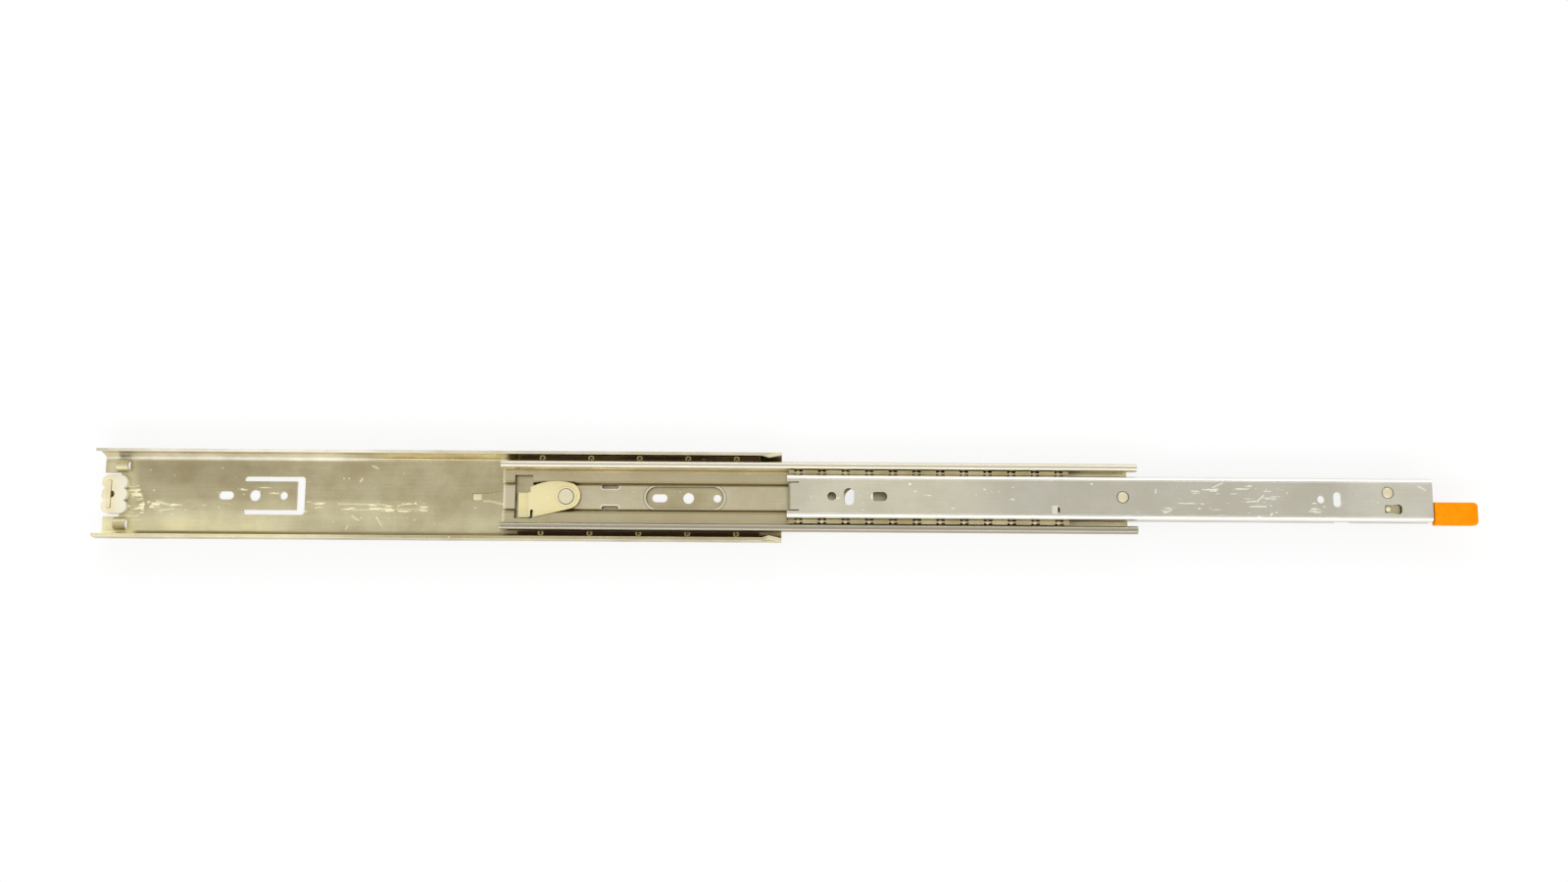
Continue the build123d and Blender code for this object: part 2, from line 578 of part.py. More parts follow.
def cabinet_rail():
    rail = rolled_member(cabinet_section(), CAB_REAR, CAB_LENGTH)
    cuts = screw_group(-HOLE_SPACING / 2) + screw_group(HOLE_SPACING / 2)
    cuts += half_disc(CAB_FRONT - D_STOP_SETBACK, D_STOP_R)
    cuts += plate(CAB_REAR - CUT_OVER, CAB_REAR + NOTCH_DEPTH, -notch_half(), notch_half())
    bump_x = CAB_REAR + BUMP_SETBACK
    bump_y = CAB_FLOOR_HALF - BUMP_IN
    for y in (bump_y, -bump_y):
        cuts += Pos(bump_x, y) * Rectangle(BUMP_LENGTH, BUMP_WIDTH - 2 * BUMP_SHEET)
    rail -= upright(cuts, -CUT_OVER, CAB_SHEET + CUT_OVER)
    ends = plate(CAB_FRONT - PINCH_LENGTH, CAB_FRONT + CUT_OVER, CAB_WIDTH / 4, CAB_WIDTH)
    ends += mirror(ends, Plane.XZ)
    rail -= upright(ends, OUTER_BALL_LEVEL + PINCH_RISE, CAB_HEIGHT + CUT_OVER)
    lip = pinched_lip()
    rail += [lip, mirror(lip, Plane.XZ), bumper_blade(), raised_arrow(), d_stop()]
    rail -= upright(arrow_plan(ARROW_WALL), -CUT_OVER, ARROW_HOLLOW)
    return rail + [lanced_bridge(bump_x, y, CAB_SHEET) for y in (bump_y, -bump_y)]


def rear_bumper():
    middle = CAB_REAR + BUMPER_LENGTH / 2 - BUMPER_FIT
    across = BUMPER_LENGTH / 2 - LOBE_R
    outline = plate(middle - across, middle + across, -LOBE_PITCH - LOBE_R, LOBE_PITCH + LOBE_R)
    for row in (-1, 0, 1):
        for side in (-1, 1):
            outline += disc(middle + side * across, row * LOBE_PITCH, 2 * LOBE_R)
    body = upright(outline, CAB_SHEET, BUMPER_TOP)
    inside = plate(CAB_REAR - LOBE_R, CAB_REAR + NOTCH_DEPTH - BUMPER_FIT,
                   BUMPER_FIT - notch_half(), notch_half() - BUMPER_FIT)
    body += upright(outline & inside, BUMPER_FOOT, CAB_SHEET)
    x = CAB_REAR + BLADE_SETBACK
    half = BLADE_WIDTH / 2 + BUMPER_FIT
    blade_slot = plate(x - BUMPER_FIT, x + CAB_SHEET + BUMPER_FIT, -half, half)
    blade_slot += half_disc(x + CAB_SHEET, LOBE_R / 2)
    side = NECK_WIDTH / 2 + BUMPER_FIT
    neck = plate(x, CAB_REAR + NOTCH_DEPTH, -side, side)
    return body - upright(blade_slot, 0, BUMPER_TOP + CUT_OVER) - upright(neck, 0, CAB_SHEET)


# Intermediate rail

def mid_section(bead_lift):
    """Half of the folded profile, from the middle of the bead to the edge of the inner raceway."""
    mid = MID_SHEET / 2
    wall = MID_WIDTH / 2 - mid
    inner = MID_WIDTH / 2 - LIP_WIDTH + mid
    floor = MID_BACK + mid
    bead = BEAD_BACK + mid + bead_lift
    lip = LIP_HEIGHT - mid
    foot = (wall, floor)
    shoulder = (wall, OUTER_BALL_LEVEL + GROOVE_RISE)
    race_top = (inner, INNER_BALL_LEVEL + RACE_RISE)
    race_end = (inner, INNER_BALL_LEVEL - RACE_RISE)
    groove_apex = (OUTER_BALL_Y - GROOVE_R, OUTER_BALL_LEVEL)
    race_apex = (INNER_BALL_Y + RACE_R, INNER_BALL_LEVEL)
    groove = groove_corner(foot, groove_apex, shoulder, GROOVE_R)
    race = groove_corner(race_top, race_apex, race_end, RACE_R)
    middle = [(0, bead), (BEAD_FLAT / 2, bead), (BEAD_FLAT / 2 + BEAD_SLOPE, floor)]
    middle += [foot, groove, shoulder, (wall, lip), (inner, lip), race_top, race, race_end]
    radii = [BEND, BEND, BEND, GROOVE_R, RACE_BEND, BEND, BEND, RACE_BEND, RACE_R]
    return rolled_sheet(middle, radii, MID_SHEET)


def latch_window():
    start = mid_x(LATCH_PIVOT - LATCH_TAIL - WINDOW_REAR)
    end = mid_x(LATCH_PIVOT - LATCH_HEEL + WINDOW_FRONT)
    half = WINDOW_SIDE - LATCH_TAIL_FOOT
    return plate(start, end, -half, half)


def screw_window():
    """Oblong window that leaves the front screw group of the cabinet member open."""
    length = 2 * (GROUP_PITCH + SCREW_WINDOW_END)
    width = MAIN_HOLE_D + 2 * SCREW_WINDOW_SIDE
    return slot(HOLE_SPACING / 2 - SCREW_WINDOW_LEAD, 0, length, width)


def bridged_window():
    x = MID_FRONT - FRONT_WINDOW
    bridge = Pos(x, 0) * Rectangle(FRONT_BRIDGE, 2 * FRONT_WINDOW_WIDTH)
    return slot(x, 0, FRONT_WINDOW_LENGTH, FRONT_WINDOW_WIDTH) - bridge


def mid_openings():
    cuts = latch_window() + screw_window() + bridged_window()
    cuts += disc(mid_x(LATCH_PIVOT), 0, LATCH_SHANK_D + RIVET_GAP)
    lance_x = mid_x(LANCE_START + LANCE_LENGTH / 2)
    for side in (-1, 1):
        cuts += slot(lance_x, side * (BEAD_FLAT / 2 - LANCE_IN), LANCE_LENGTH, LANCE_WIDTH)
    cuts += plate(WEB_END, MID_FRONT + CUT_OVER, -CUTBACK_HALF, CUTBACK_HALF)
    cuts += plate(MID_FRONT - FLOOR_SETBACK, MID_FRONT + CUT_OVER, -MID_WIDTH / 2, MID_WIDTH / 2)
    for setback in ARM_RIVETS:
        cuts += disc(WEB_END - setback, 0, ARM_RIVET_D + RIVET_GAP)
    return cuts


def flared_end():
    """Rear end of one outer flange wall, pressed outwards."""
    line = MID_WIDTH / 2 - MID_SHEET / 2
    foot = [(MID_REAR, line), (MID_REAR, line + FLARE_OUT), (mid_x(FLARE_LENGTH), line)]
    wedge = make_face(Polyline(*foot, close=True))
    return upright(wedge, OUTER_BALL_LEVEL + GROOVE_RISE, LIP_HEIGHT - BEND)


def intermediate_rail():
    seat = WEB_END - ARM_TAIL
    rail = rolled_member(mid_section(0), MID_REAR, seat - MID_REAR)
    rail += rolled_member(mid_section(ARM_SHEET), seat, MID_FRONT - seat)
    rail -= upright(mid_openings(), BEAD_BACK - CUT_OVER, MID_FLOOR + CUT_OVER)
    flare = flared_end()
    return rail + [flare, mirror(flare, Plane.XZ)]


def catch_arm():
    low = BEAD_BACK + ARM_SHEET / 2
    joggle = WEB_END + ARM_JOGGLE
    rear = WEB_END - ARM_TAIL
    tip = MID_FRONT + ARM_REACH
    middle = [(rear, low), (joggle, low), (joggle + ARM_JOGGLE_LENGTH, low + ARM_LIFT)]
    middle.append((tip, low + ARM_LIFT))
    strip = side_strip(rolled_sheet(middle, [ARM_SHEET, ARM_SHEET], ARM_SHEET), ARM_EAR_HALF)
    blade = plate(rear, tip, -ARM_HALF, ARM_HALF)
    blade = chamfer(blade.vertices().group_by(Axis.X)[-1], ARM_CHAMFER)
    blade += plate(WEB_END - ARM_EAR_LENGTH, WEB_END, -ARM_EAR_HALF, ARM_EAR_HALF)
    for setback in ARM_RIVETS:
        blade -= disc(WEB_END - setback, 0, ARM_RIVET_D + RIVET_GAP)
    blade -= disc(MID_FRONT - STUD_SETBACK, 0, STUD_D + RIVET_GAP)
    return strip & upright(blade, 0, LIP_HEIGHT)


def catch_arm_rivets():
    top = BEAD_BACK + ARM_SHEET + MID_SHEET
    rivets = []
    for setback in ARM_RIVETS:
        x = WEB_END - setback
        head = disc(x, 0, ARM_RIVET_HEAD_D)
        rivet = upright(disc(x, 0, ARM_RIVET_D), BEAD_BACK, top)
        rivet += upright(head, BEAD_BACK - RIVET_HEAD, BEAD_BACK)
        rivets.append(rivet + upright(head, top, top + RIVET_HEAD))
    return rivets


def catch_stud():
    x = MID_FRONT - STUD_SETBACK
    back = BEAD_BACK + ARM_LIFT
    head = upright(disc(x, 0, STUD_HEAD_D), back - RIVET_HEAD, back)
    return head + upright(disc(x, 0, STUD_D), back, STUD_TOP)


# Sequence latch, which swings on a shouldered pivot over the bead

def latch_outline():
    x = mid_x(LATCH_PIVOT)
    heel = (x - LATCH_HEEL, LATCH_TAIL_TOP + LATCH_HEEL_RISE)
    brow = (x + LATCH_BROW[0], LATCH_BROW[1])
    chin = (x + LATCH_CHIN[0], LATCH_CHIN[1])
    toe = (x - LATCH_HEEL + LATCH_TOE, LATCH_TAIL_FOOT)
    foot = (x - LATCH_HEEL, LATCH_TAIL_FOOT)
    back = ThreePointArc(heel, (x - LATCH_HEEL / 2, LATCH_BACK), brow)
    nose = ThreePointArc(brow, (x + LATCH_NOSE, 0), chin)
    return make_face([back, nose, Line(chin, toe), Line(toe, foot), Line(foot, heel)])


def sequence_latch():
    x = mid_x(LATCH_PIVOT)
    step = x - LATCH_HEEL
    plan = latch_outline() - disc(x, 0, LATCH_SHANK_D + WORK_GAP)
    plan -= slot(step + LATCH_RELIEF / 2, LATCH_TAIL_FOOT, 2 * LATCH_RELIEF_DEPTH, LATCH_RELIEF, 90)
    ring = disc(x, 0, LATCH_RING_D) - disc(x, 0, LATCH_RING_D - 2 * LATCH_RING_WIDTH)
    riser = plate(step - LATCH_SHEET, step, LATCH_TAIL_FOOT, LATCH_TAIL_TOP)
    tail = plate(x - LATCH_TAIL, step, LATCH_TAIL_FOOT, LATCH_TAIL_TOP)
    latch = upright(plan, LATCH_BASE, LATCH_BASE + LATCH_SHEET)
    latch += upright(ring, LATCH_BASE + LATCH_SHEET, LATCH_BASE + LATCH_SHEET + LATCH_RING_RISE)
    latch += upright(riser, LATCH_TAIL_BASE, LATCH_BASE + LATCH_SHEET)
    return latch + upright(tail, LATCH_TAIL_BASE, LATCH_TAIL_BASE + LATCH_SHEET)


def latch_pivot():
    x = mid_x(LATCH_PIVOT)
    shank = upright(disc(x, 0, LATCH_SHANK_D), BEAD_BACK, LATCH_HEAD_BASE)
    return shank + upright(disc(x, 0, LATCH_HEAD_D), LATCH_HEAD_BASE, STUD_TOP)


# Drawer rail

def drawer_section():
    mid = DRAWER_SHEET / 2
    wall = DRAWER_WIDTH / 2 - mid
    web = DRAWER_FACE - mid
    upper = (wall, INNER_BALL_LEVEL + DRAWER_RISE)
    lower = (wall, INNER_BALL_LEVEL - DRAWER_RISE)
    apex = (INNER_BALL_Y - DRAWER_RACE_R, INNER_BALL_LEVEL)
    groove = groove_corner(upper, apex, lower, DRAWER_RACE_R)
    middle = [(0, web), (wall, web), upper, groove, lower, (wall, DRAWER_EDGE)]
    return rolled_sheet(middle, [DRAWER_BEND, RACE_BEND, DRAWER_RACE_R, RACE_BEND], DRAWER_SHEET)


def sight_key():
    """Middle of the slimmer rear end of the small window."""
    return drawer_x(SIGHT_WINDOW) - (SIGHT_WINDOW_LENGTH - SIGHT_KEY_LENGTH) / 2, SIGHT_WINDOW_Y


def sight_window():
    """Small window beside the post, slimmer at its rear, through which the lever's pin shows."""
    room = SIGHT_WINDOW_LENGTH - SIGHT_KEY_LENGTH
    wide = RectangleRounded(room, SIGHT_WINDOW_WIDTH, SIGHT_WINDOW_CORNER)
    middle = drawer_x(SIGHT_WINDOW) + SIGHT_KEY_LENGTH / 2
    key = Rectangle(SIGHT_KEY_LENGTH + 2 * SIGHT_WINDOW_CORNER, SIGHT_KEY_WIDTH)
    x, y = sight_key()
    return Pos(middle, SIGHT_WINDOW_Y) * wide + Pos(x + SIGHT_WINDOW_CORNER, y) * key


def drawer_openings():
    cuts = disc(DRAWER_REAR + ROUND_HOLE, 0, ROUND_HOLE_D)
    cuts += slot(DRAWER_REAR + UPRIGHT_SLOT, 0, UPRIGHT_SLOT_LENGTH, UPRIGHT_SLOT_W, 90)
    cuts += slot(DRAWER_REAR + LEVEL_SLOT, 0, LEVEL_SLOT_LENGTH, LEVEL_SLOT_W)
    cuts += disc(drawer_x(SMALL_HOLE), 0, SMALL_HOLE_D)
    cuts += slot(drawer_x(FRONT_SLOT), 0, FRONT_SLOT_LENGTH, FRONT_SLOT_W, 90)
    cuts += sight_window()
    cuts += disc(drawer_x(POST_SETBACK), POST_Y, POST_NECK_D + RIVET_GAP)
    cuts += disc(drawer_x(STOP_RIVET), STOP_RIVET_Y, STOP_RIVET_D + RIVET_GAP)
    return cuts + plate(DRAWER_REAR - CUT_OVER, DRAWER_REAR + TAB_ROOT, -TAB_HALF, TAB_HALF)


def tripping_tab():
    """Rear edge of the web rolled down between the flanges."""
    web = DRAWER_FACE - DRAWER_SHEET / 2
    edge = DRAWER_REAR + DRAWER_SHEET
    middle = [(DRAWER_REAR + TAB_ROOT, web), (edge, web), (edge, MECHANISM_FLOOR + TAB_AIR)]
    return side_strip(rolled_sheet(middle, [TAB_BEND], DRAWER_SHEET), TAB_HALF - DRAWER_SHEET / 2)


def anchor_tab():
    """Slanting tab under the web that the short leg of the spring bears on."""
    post, along, out = spring_lay()
    place = post + out + along * (SPRING_SHORT_LEG + ANCHOR_AHEAD)
    plan = Pos(place.X, place.Y) * Rot(0, 0, ANCHOR_TURN) * Rectangle(ANCHOR_LENGTH, DRAWER_SHEET)
    return upright(plan, POST_DISC_TOP, WEB_UNDER)


def dimple_plan(inset):
    size = DIMPLE_SIZE - 2 * inset
    return Pos(drawer_x(DIMPLE), DIMPLE_Y) * RectangleRounded(size, size, DIMPLE_CORNER - inset)


def dimple(level):
    """Small square dimple, pressed down from the given level."""
    return pressed(dimple_plan(0), dimple_plan(PRESS_LEAN * DIMPLE_DEPTH), level, -DIMPLE_DEPTH)


def dimple_slit():
    """Slit along the front edge of the dimple."""
    x = drawer_x(DIMPLE) + DIMPLE_SIZE / 2
    half = DIMPLE_SIZE / 2 - DIMPLE_CORNER
    slit = plate(x - DIMPLE_SLIT, x, DIMPLE_Y - half, DIMPLE_Y + half)
    return upright(slit, WEB_UNDER - DIMPLE_DEPTH - CUT_OVER, DRAWER_FACE + CUT_OVER)


def rivet_seats():
    """Shallow seats in the face for the heads of the spring post and the stop rivet."""
    seats = disc(drawer_x(POST_SETBACK), POST_Y, POST_FACE_HEAD_D + 2 * SEAT_RING)
    seats += disc(drawer_x(STOP_RIVET), STOP_RIVET_Y, STOP_HEAD_D + 2 * SEAT_RING)
    return upright(seats, DRAWER_FACE - FACE_HEAD, DRAWER_FACE + CUT_OVER)


def drawer_rail():
    rail = rolled_member(drawer_section(), DRAWER_REAR, DRAWER_LENGTH)
    rail -= upright(drawer_openings(), WEB_UNDER - CUT_OVER, DRAWER_FACE + CUT_OVER)
    notch = Pos(drawer_x(FLANGE_NOTCH), -DRAWER_WIDTH / 2)
    notch *= Rectangle(FLANGE_NOTCH_LENGTH, DRAWER_WIDTH / 2)
    rail -= upright(notch, DRAWER_EDGE - CUT_OVER, DRAWER_EDGE + FLANGE_NOTCH_DEPTH)
    rail -= rivet_seats()
    rail = rail - dimple(DRAWER_FACE) + dimple(WEB_UNDER) - dimple_slit()
    return rail + [tripping_tab(), anchor_tab()]


def stop_rivet():
    x = drawer_x(STOP_RIVET)
    shank = disc(x, STOP_RIVET_Y, STOP_RIVET_D)
    seat = DRAWER_FACE - FACE_HEAD
    rivet = domed(x, STOP_RIVET_Y, STOP_HEAD_D, seat, DRAWER_FACE)
    rivet += upright(shank, MECHANISM_FLOOR, seat)
    return rivet - upright(shank, DRAWER_FACE - FACE_HEAD / 2, DRAWER_FACE + CUT_OVER)


# Lock lever with its cap, post and torsion spring

def lever_outline():
    """Plan of the lever: a long strip whose upper edge rises and falls, with an ear at the post."""
    tail_front = DOG_PIVOT + LEVER_TAIL_LEAD
    upper = [
        (DOG_PIVOT + PEG_ARM + LEVER_TAIL, LEVER_TAIL_WIDTH),
        (tail_front, LEVER_TAIL_WIDTH),
        (tail_front - LEVER_RAMP / 2, LEVER_SLIM),
        (LEVER_RAISED_REAR + LEVER_RAMP, LEVER_SLIM),
        (LEVER_RAISED_REAR, LEVER_RAISED_WIDTH),
        (LEVER_RAISED_FRONT, LEVER_RAISED_WIDTH),
        (LEVER_RAISED_FRONT - LEVER_RAMP, LEVER_SLIM),
        (LEVER_FRONT_RAMP, LEVER_SLIM),
        (LEVER_FRONT_RAMP - LEVER_RAMP, LEVER_NECK_WIDTH),
        (-CAP_GAP, LEVER_NECK_WIDTH),
    ]
    corners = [(drawer_x(setback), LEVER_EDGE + width) for setback, width in upper]
    corners += [(corners[-1][0], LEVER_EDGE), (corners[0][0], LEVER_EDGE)]
    strip = make_face(Polyline(*corners, close=True))
    ramps = [v for v in strip.vertices() if drawer_x(tail_front) + CUT_OVER < v.X < DRAWER_FRONT]
    strip = fillet(ramps, LEVER_ROUND)
    post_x = drawer_x(POST_SETBACK)
    half = LEVER_EAR_D / 2
    ear = disc(post_x, POST_Y, LEVER_EAR_D)
    ear += plate(post_x - half, post_x + half, LEVER_EDGE + LEVER_SLIM, POST_Y)
    return strip + ear + lever_tongue()


def lever_tongue():
    """Tongue in front of the rail that carries the cap."""
    tip = DRAWER_FRONT + CAP_GAP + CAP_LENGTH - CAP_END
    return plate(DRAWER_FRONT, tip, LEVER_EDGE, LEVER_EDGE + LEVER_TONGUE_WIDTH)


def peg_place():
    return drawer_x(DOG_PIVOT + PEG_ARM), LEVER_EDGE + PEG_IN


def lock_lever():
    plan = lever_outline() - disc(drawer_x(POST_SETBACK), POST_Y, POST_SHOULDER_D + WORK_GAP)
    plan -= disc(*spring_hook(), SPRING_WIRE_D + 2 * HOOK_HOLE)
    peg = upright(disc(*peg_place(), PEG_D), MECHANISM_FLOOR, LEVER_BASE)
    pin = domed(*sight_key(), LEVER_PIN_D, LEVER_TOP, DRAWER_FACE - LEVER_PIN_DOWN)
    return upright(plan, LEVER_BASE, LEVER_TOP) + peg + pin


def lever_cap():
    level = (LEVER_TOP + LEVER_BASE) / 2
    rise = LEVER_SHEET / 2 + CAP_WALL
    start = DRAWER_FRONT + CAP_GAP
    inner = LEVER_EDGE + LEVER_TONGUE_WIDTH + CAP_SIDE_UPPER
    plan = plate(start, start + CAP_LENGTH, LEVER_EDGE - CAP_SIDE_LOWER, inner)
    plan = fillet(plan.vertices().group_by(Axis.X)[-1], CAP_CORNER)
    cap = upright(plan, level - rise, level + rise)
    for end in (0, -1):
        cap = fillet(cap.faces().group_by(Axis.Z)[end].edges(), CAP_EDGE)
    return cap - upright(lever_tongue(), LEVER_BASE, LEVER_TOP)


def spring_coil_d():
    """Mean diameter of the turns."""
    return POST_SHOULDER_D + 2 * SPRING_ROOM + SPRING_WIRE_D


def spring_post():
    x = drawer_x(POST_SETBACK)
    rim = spring_coil_d() + SPRING_WIRE_D + 2 * POST_DISC_RIM
    post = upright(disc(x, POST_Y, rim), MECHANISM_FLOOR, POST_DISC_TOP)
    post += upright(disc(x, POST_Y, POST_SHOULDER_D), POST_DISC_TOP, WEB_UNDER)
    seat = DRAWER_FACE - FACE_HEAD
    post += upright(disc(x, POST_Y, POST_NECK_D), WEB_UNDER, seat)
    return post + domed(x, POST_Y, POST_FACE_HEAD_D, seat, DRAWER_FACE)


def spring_hook():
    return drawer_x(SPRING_HOOK), LEVER_EDGE + LEVER_SLIM / 2


def spring_lay():
    """Middle of the turns, direction of the legs, and the step out to where they leave the turns."""
    post = Vector(drawer_x(POST_SETBACK), POST_Y)
    towards = post - Vector(*spring_hook())
    radius = spring_coil_d() / 2
    heading = math.atan2(towards.Y, towards.X) - math.asin(radius / towards.length)
    along = Vector(math.cos(heading), math.sin(heading))
    return post, along, Vector(along.Y, -along.X) * radius


def spring_path():
    """Hook through the lever, long leg, turns as tilted half circles, and the short leg."""
    post, along, out = spring_lay()
    hook = Vector(*spring_hook())
    top = LEVER_BASE - SPRING_AIR - SPRING_WIRE_D / 2
    foot = POST_DISC_TOP + SPRING_AIR + SPRING_WIRE_D / 2
    level = Vector(0, 0, top)
    up = Vector(0, 0, 1)
    knee = hook + level + up * SPRING_HOOK_BEND
    bend = hook + level + along * SPRING_HOOK_BEND
    sag = SPRING_HOOK_BEND * (1 - math.sqrt(0.5))
    edges = [Line(hook + up * (LEVER_TOP + SPRING_WIRE_D / 2), knee)]
    edges.append(ThreePointArc(knee, hook + level + (along + up) * sag, bend))
    start = post + out + level
    edges.append(Line(bend, start))
    drop = up * ((foot - top) / (2 * SPRING_TURNS))
    for half_turn in range(2 * SPRING_TURNS):
        sign = -1 if half_turn % 2 else 1
        height = up * start.Z
        crown = post + along * (sign * spring_coil_d() / 2) + height + drop / 2
        end = post - out * sign + height + drop
        edges.append(ThreePointArc(start, crown, end))
        start = end
    edges.append(Line(start, start + along * SPRING_SHORT_LEG))
    return edges


def least_gap(edges):
    """Smallest gap between two stretches of the wire that are more than half a turn apart."""
    points = []
    walked = 0.0
    for edge in edges:
        steps = max(2, round(edge.length * 4))
        points += [(walked + edge.length * i / steps, edge @ (i / steps)) for i in range(steps)]
        walked += edge.length
    apart = math.pi * spring_coil_d() / 2
    pairs = [(a, b) for i, (s, a) in enumerate(points) for t, b in points[i + 1:] if t - s > apart]
    return min((a - b).length for a, b in pairs) - SPRING_WIRE_D


def lock_spring():
    edges = spring_path()
    print("spring: least gap to itself", round(least_gap(edges), 2), "mm")
    wire = Wire([e.edge() for e in edges])
    start = Plane(origin=wire @ 0, z_dir=wire % 0)
    return sweep(start * Circle(SPRING_WIRE_D / 2), path=wire)


# Lock dog, which the lever tips aside with its peg

def lock_dog():
    pivot_x = drawer_x(DOG_PIVOT)
    blank = Pos(DOG_LENGTH / 2 - DOG_NOSE, 0) * RectangleRounded(DOG_LENGTH, DOG_WIDTH, DOG_CORNER)
    plan = Pos(pivot_x, DOG_PIVOT_Y) * Rot(0, 0, DOG_TURN) * blank
    plan -= disc(pivot_x, DOG_PIVOT_Y, DOG_PIVOT_D + WORK_GAP)
    plan -= slot(*peg_place(), PEG_D + 2 * PEG_PLAY, PEG_D + PEG_PLAY)
    return upright(plan, DOG_BASE, DOG_BASE + DOG_SHEET)


def dog_pivot():
    x = drawer_x(DOG_PIVOT)
    head_top = MECHANISM_FLOOR + RIVET_HEAD
    head = upright(disc(x, DOG_PIVOT_Y, DOG_HEAD_D), MECHANISM_FLOOR, head_top)
    return head + upright(disc(x, DOG_PIVOT_Y, DOG_PIVOT_D), head_top, WEB_UNDER)


# Balls and their cages

def ball_places(rear, length, margin, count):
    pitch = (length - 2 * margin) / (count - 1)
    return [rear + margin + i * pitch for i in range(count)]


def outer_places():
    return ball_places(OUTER_CAGE_REAR, OUTER_CAGE_LENGTH, OUTER_BALL_MARGIN, OUTER_BALLS)


def inner_places():
    return ball_places(INNER_CAGE_REAR, INNER_CAGE_LENGTH, INNER_BALL_MARGIN, INNER_BALLS)


def ball_row(places, y, level, radius):
    return [Pos(x, y, level) * Sphere(radius) for x in places]


def cage_strip(rear, length, y, level, radius, places):
    """Upright strip on the ball line with a round window for every ball."""
    strip = upright(plate(rear, rear + length, y - CAGE_SHEET / 2, y + CAGE_SHEET / 2),
                    level - radius - CAGE_EDGE, level + radius + CAGE_EDGE)
    window = Rot(90, 0, 0) * Cylinder(radius + CAGE_PLAY, CAGE_SHEET + 2 * CUT_OVER)
    for x in places:
        strip -= Pos(x, y, level) * window
    return strip


def outer_cage(side):
    y = side * OUTER_BALL_Y
    near = side * (MID_WIDTH / 2 + CAGE_AIR)
    far = side * (CAB_WIDTH / 2 - CAB_SHEET - CAB_LIP_IN - CAGE_AIR)
    front = OUTER_CAGE_REAR + OUTER_CAGE_LENGTH
    flange = plate(OUTER_CAGE_REAR, front, min(near, far), max(near, far))
    for x in outer_places():
        flange -= disc(x, y, SIGHT_HOLE_D)
    base = OUTER_BALL_LEVEL + OUTER_R + CAGE_EDGE
    strip = cage_strip(OUTER_CAGE_REAR, OUTER_CAGE_LENGTH, y, OUTER_BALL_LEVEL, OUTER_R, outer_places())
    return strip + upright(flange, base, base + CAGE_SHEET)


def inner_cage(side):
    y = side * INNER_BALL_Y
    near = side * (DRAWER_WIDTH / 2 + CAGE_AIR)
    far = side * (MID_WIDTH / 2 - LIP_WIDTH - CAGE_AIR)
    front = INNER_CAGE_REAR + INNER_CAGE_LENGTH
    flange = plate(INNER_CAGE_REAR, front, min(near, far), max(near, far))
    for x in inner_places():
        flange -= Pos(x, y) * Rectangle(INNER_NOTCH, LIP_WIDTH)
    base = INNER_BALL_LEVEL + INNER_R + CAGE_EDGE
    strip = cage_strip(INNER_CAGE_REAR, INNER_CAGE_LENGTH, y, INNER_BALL_LEVEL, INNER_R, inner_places())
    return strip + upright(flange, base, base + CAGE_SHEET)


def all_nodes():
    nodes = rail_nodes("cabinet", cabinet_rail(), CAB_SEAM)
    nodes.update(rail_nodes("intermediate", intermediate_rail(), MID_SEAM))
    nodes.update(rail_nodes("drawer", drawer_rail(), DRAWER_SEAM))
    nodes.update({
        "rear_bumper": rear_bumper(), "catch_arm": catch_arm(),
        "catch_arm_rivets": catch_arm_rivets(), "catch_stud": catch_stud(),
        "sequence_latch": sequence_latch(), "latch_pivot": latch_pivot(),
        "stop_rivet": stop_rivet(), "spring_post": spring_post(),
        "lock_lever": lock_lever(), "lever_cap": lever_cap(), "lock_spring": lock_spring(),
        "lock_dog": lock_dog(), "dog_pivot": dog_pivot(),
    })
    for name, side in (("upper", 1), ("lower", -1)):
        outer_y = side * OUTER_BALL_Y
        inner_y = side * INNER_BALL_Y
        nodes["outer_cage_" + name] = outer_cage(side)
        nodes["outer_balls_" + name] = ball_row(outer_places(), outer_y, OUTER_BALL_LEVEL, OUTER_R)
        nodes["inner_cage_" + name] = inner_cage(side)
        nodes["inner_balls_" + name] = ball_row(inner_places(), inner_y, INNER_BALL_LEVEL, INNER_R)
    return nodes


os.makedirs("parts", exist_ok=True)
for node, shape in all_nodes().items():
    piece = Compound(children=shape) if isinstance(shape, list) else shape
    export_step(piece, os.path.join("parts", node + ".step"))
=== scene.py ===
"""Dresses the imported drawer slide: finishes, balls, spring, floor, light and camera."""

import json
import math

import bpy
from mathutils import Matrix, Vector

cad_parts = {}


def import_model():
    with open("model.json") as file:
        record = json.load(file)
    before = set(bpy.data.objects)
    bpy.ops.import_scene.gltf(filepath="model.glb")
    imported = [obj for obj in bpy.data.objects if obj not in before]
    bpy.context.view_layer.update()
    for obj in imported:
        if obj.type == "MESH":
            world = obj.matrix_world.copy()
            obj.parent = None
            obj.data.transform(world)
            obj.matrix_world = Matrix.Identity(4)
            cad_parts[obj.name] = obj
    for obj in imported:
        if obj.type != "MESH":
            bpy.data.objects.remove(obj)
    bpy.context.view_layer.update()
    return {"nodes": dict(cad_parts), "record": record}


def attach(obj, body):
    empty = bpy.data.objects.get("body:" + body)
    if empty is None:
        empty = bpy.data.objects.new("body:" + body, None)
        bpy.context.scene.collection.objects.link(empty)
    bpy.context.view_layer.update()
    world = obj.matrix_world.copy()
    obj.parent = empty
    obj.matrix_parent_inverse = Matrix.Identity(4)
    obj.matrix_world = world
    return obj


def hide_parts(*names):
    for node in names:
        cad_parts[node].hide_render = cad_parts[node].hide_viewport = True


MM = 0.001


# Camera, as the photograph was taken: almost straight down on the slide

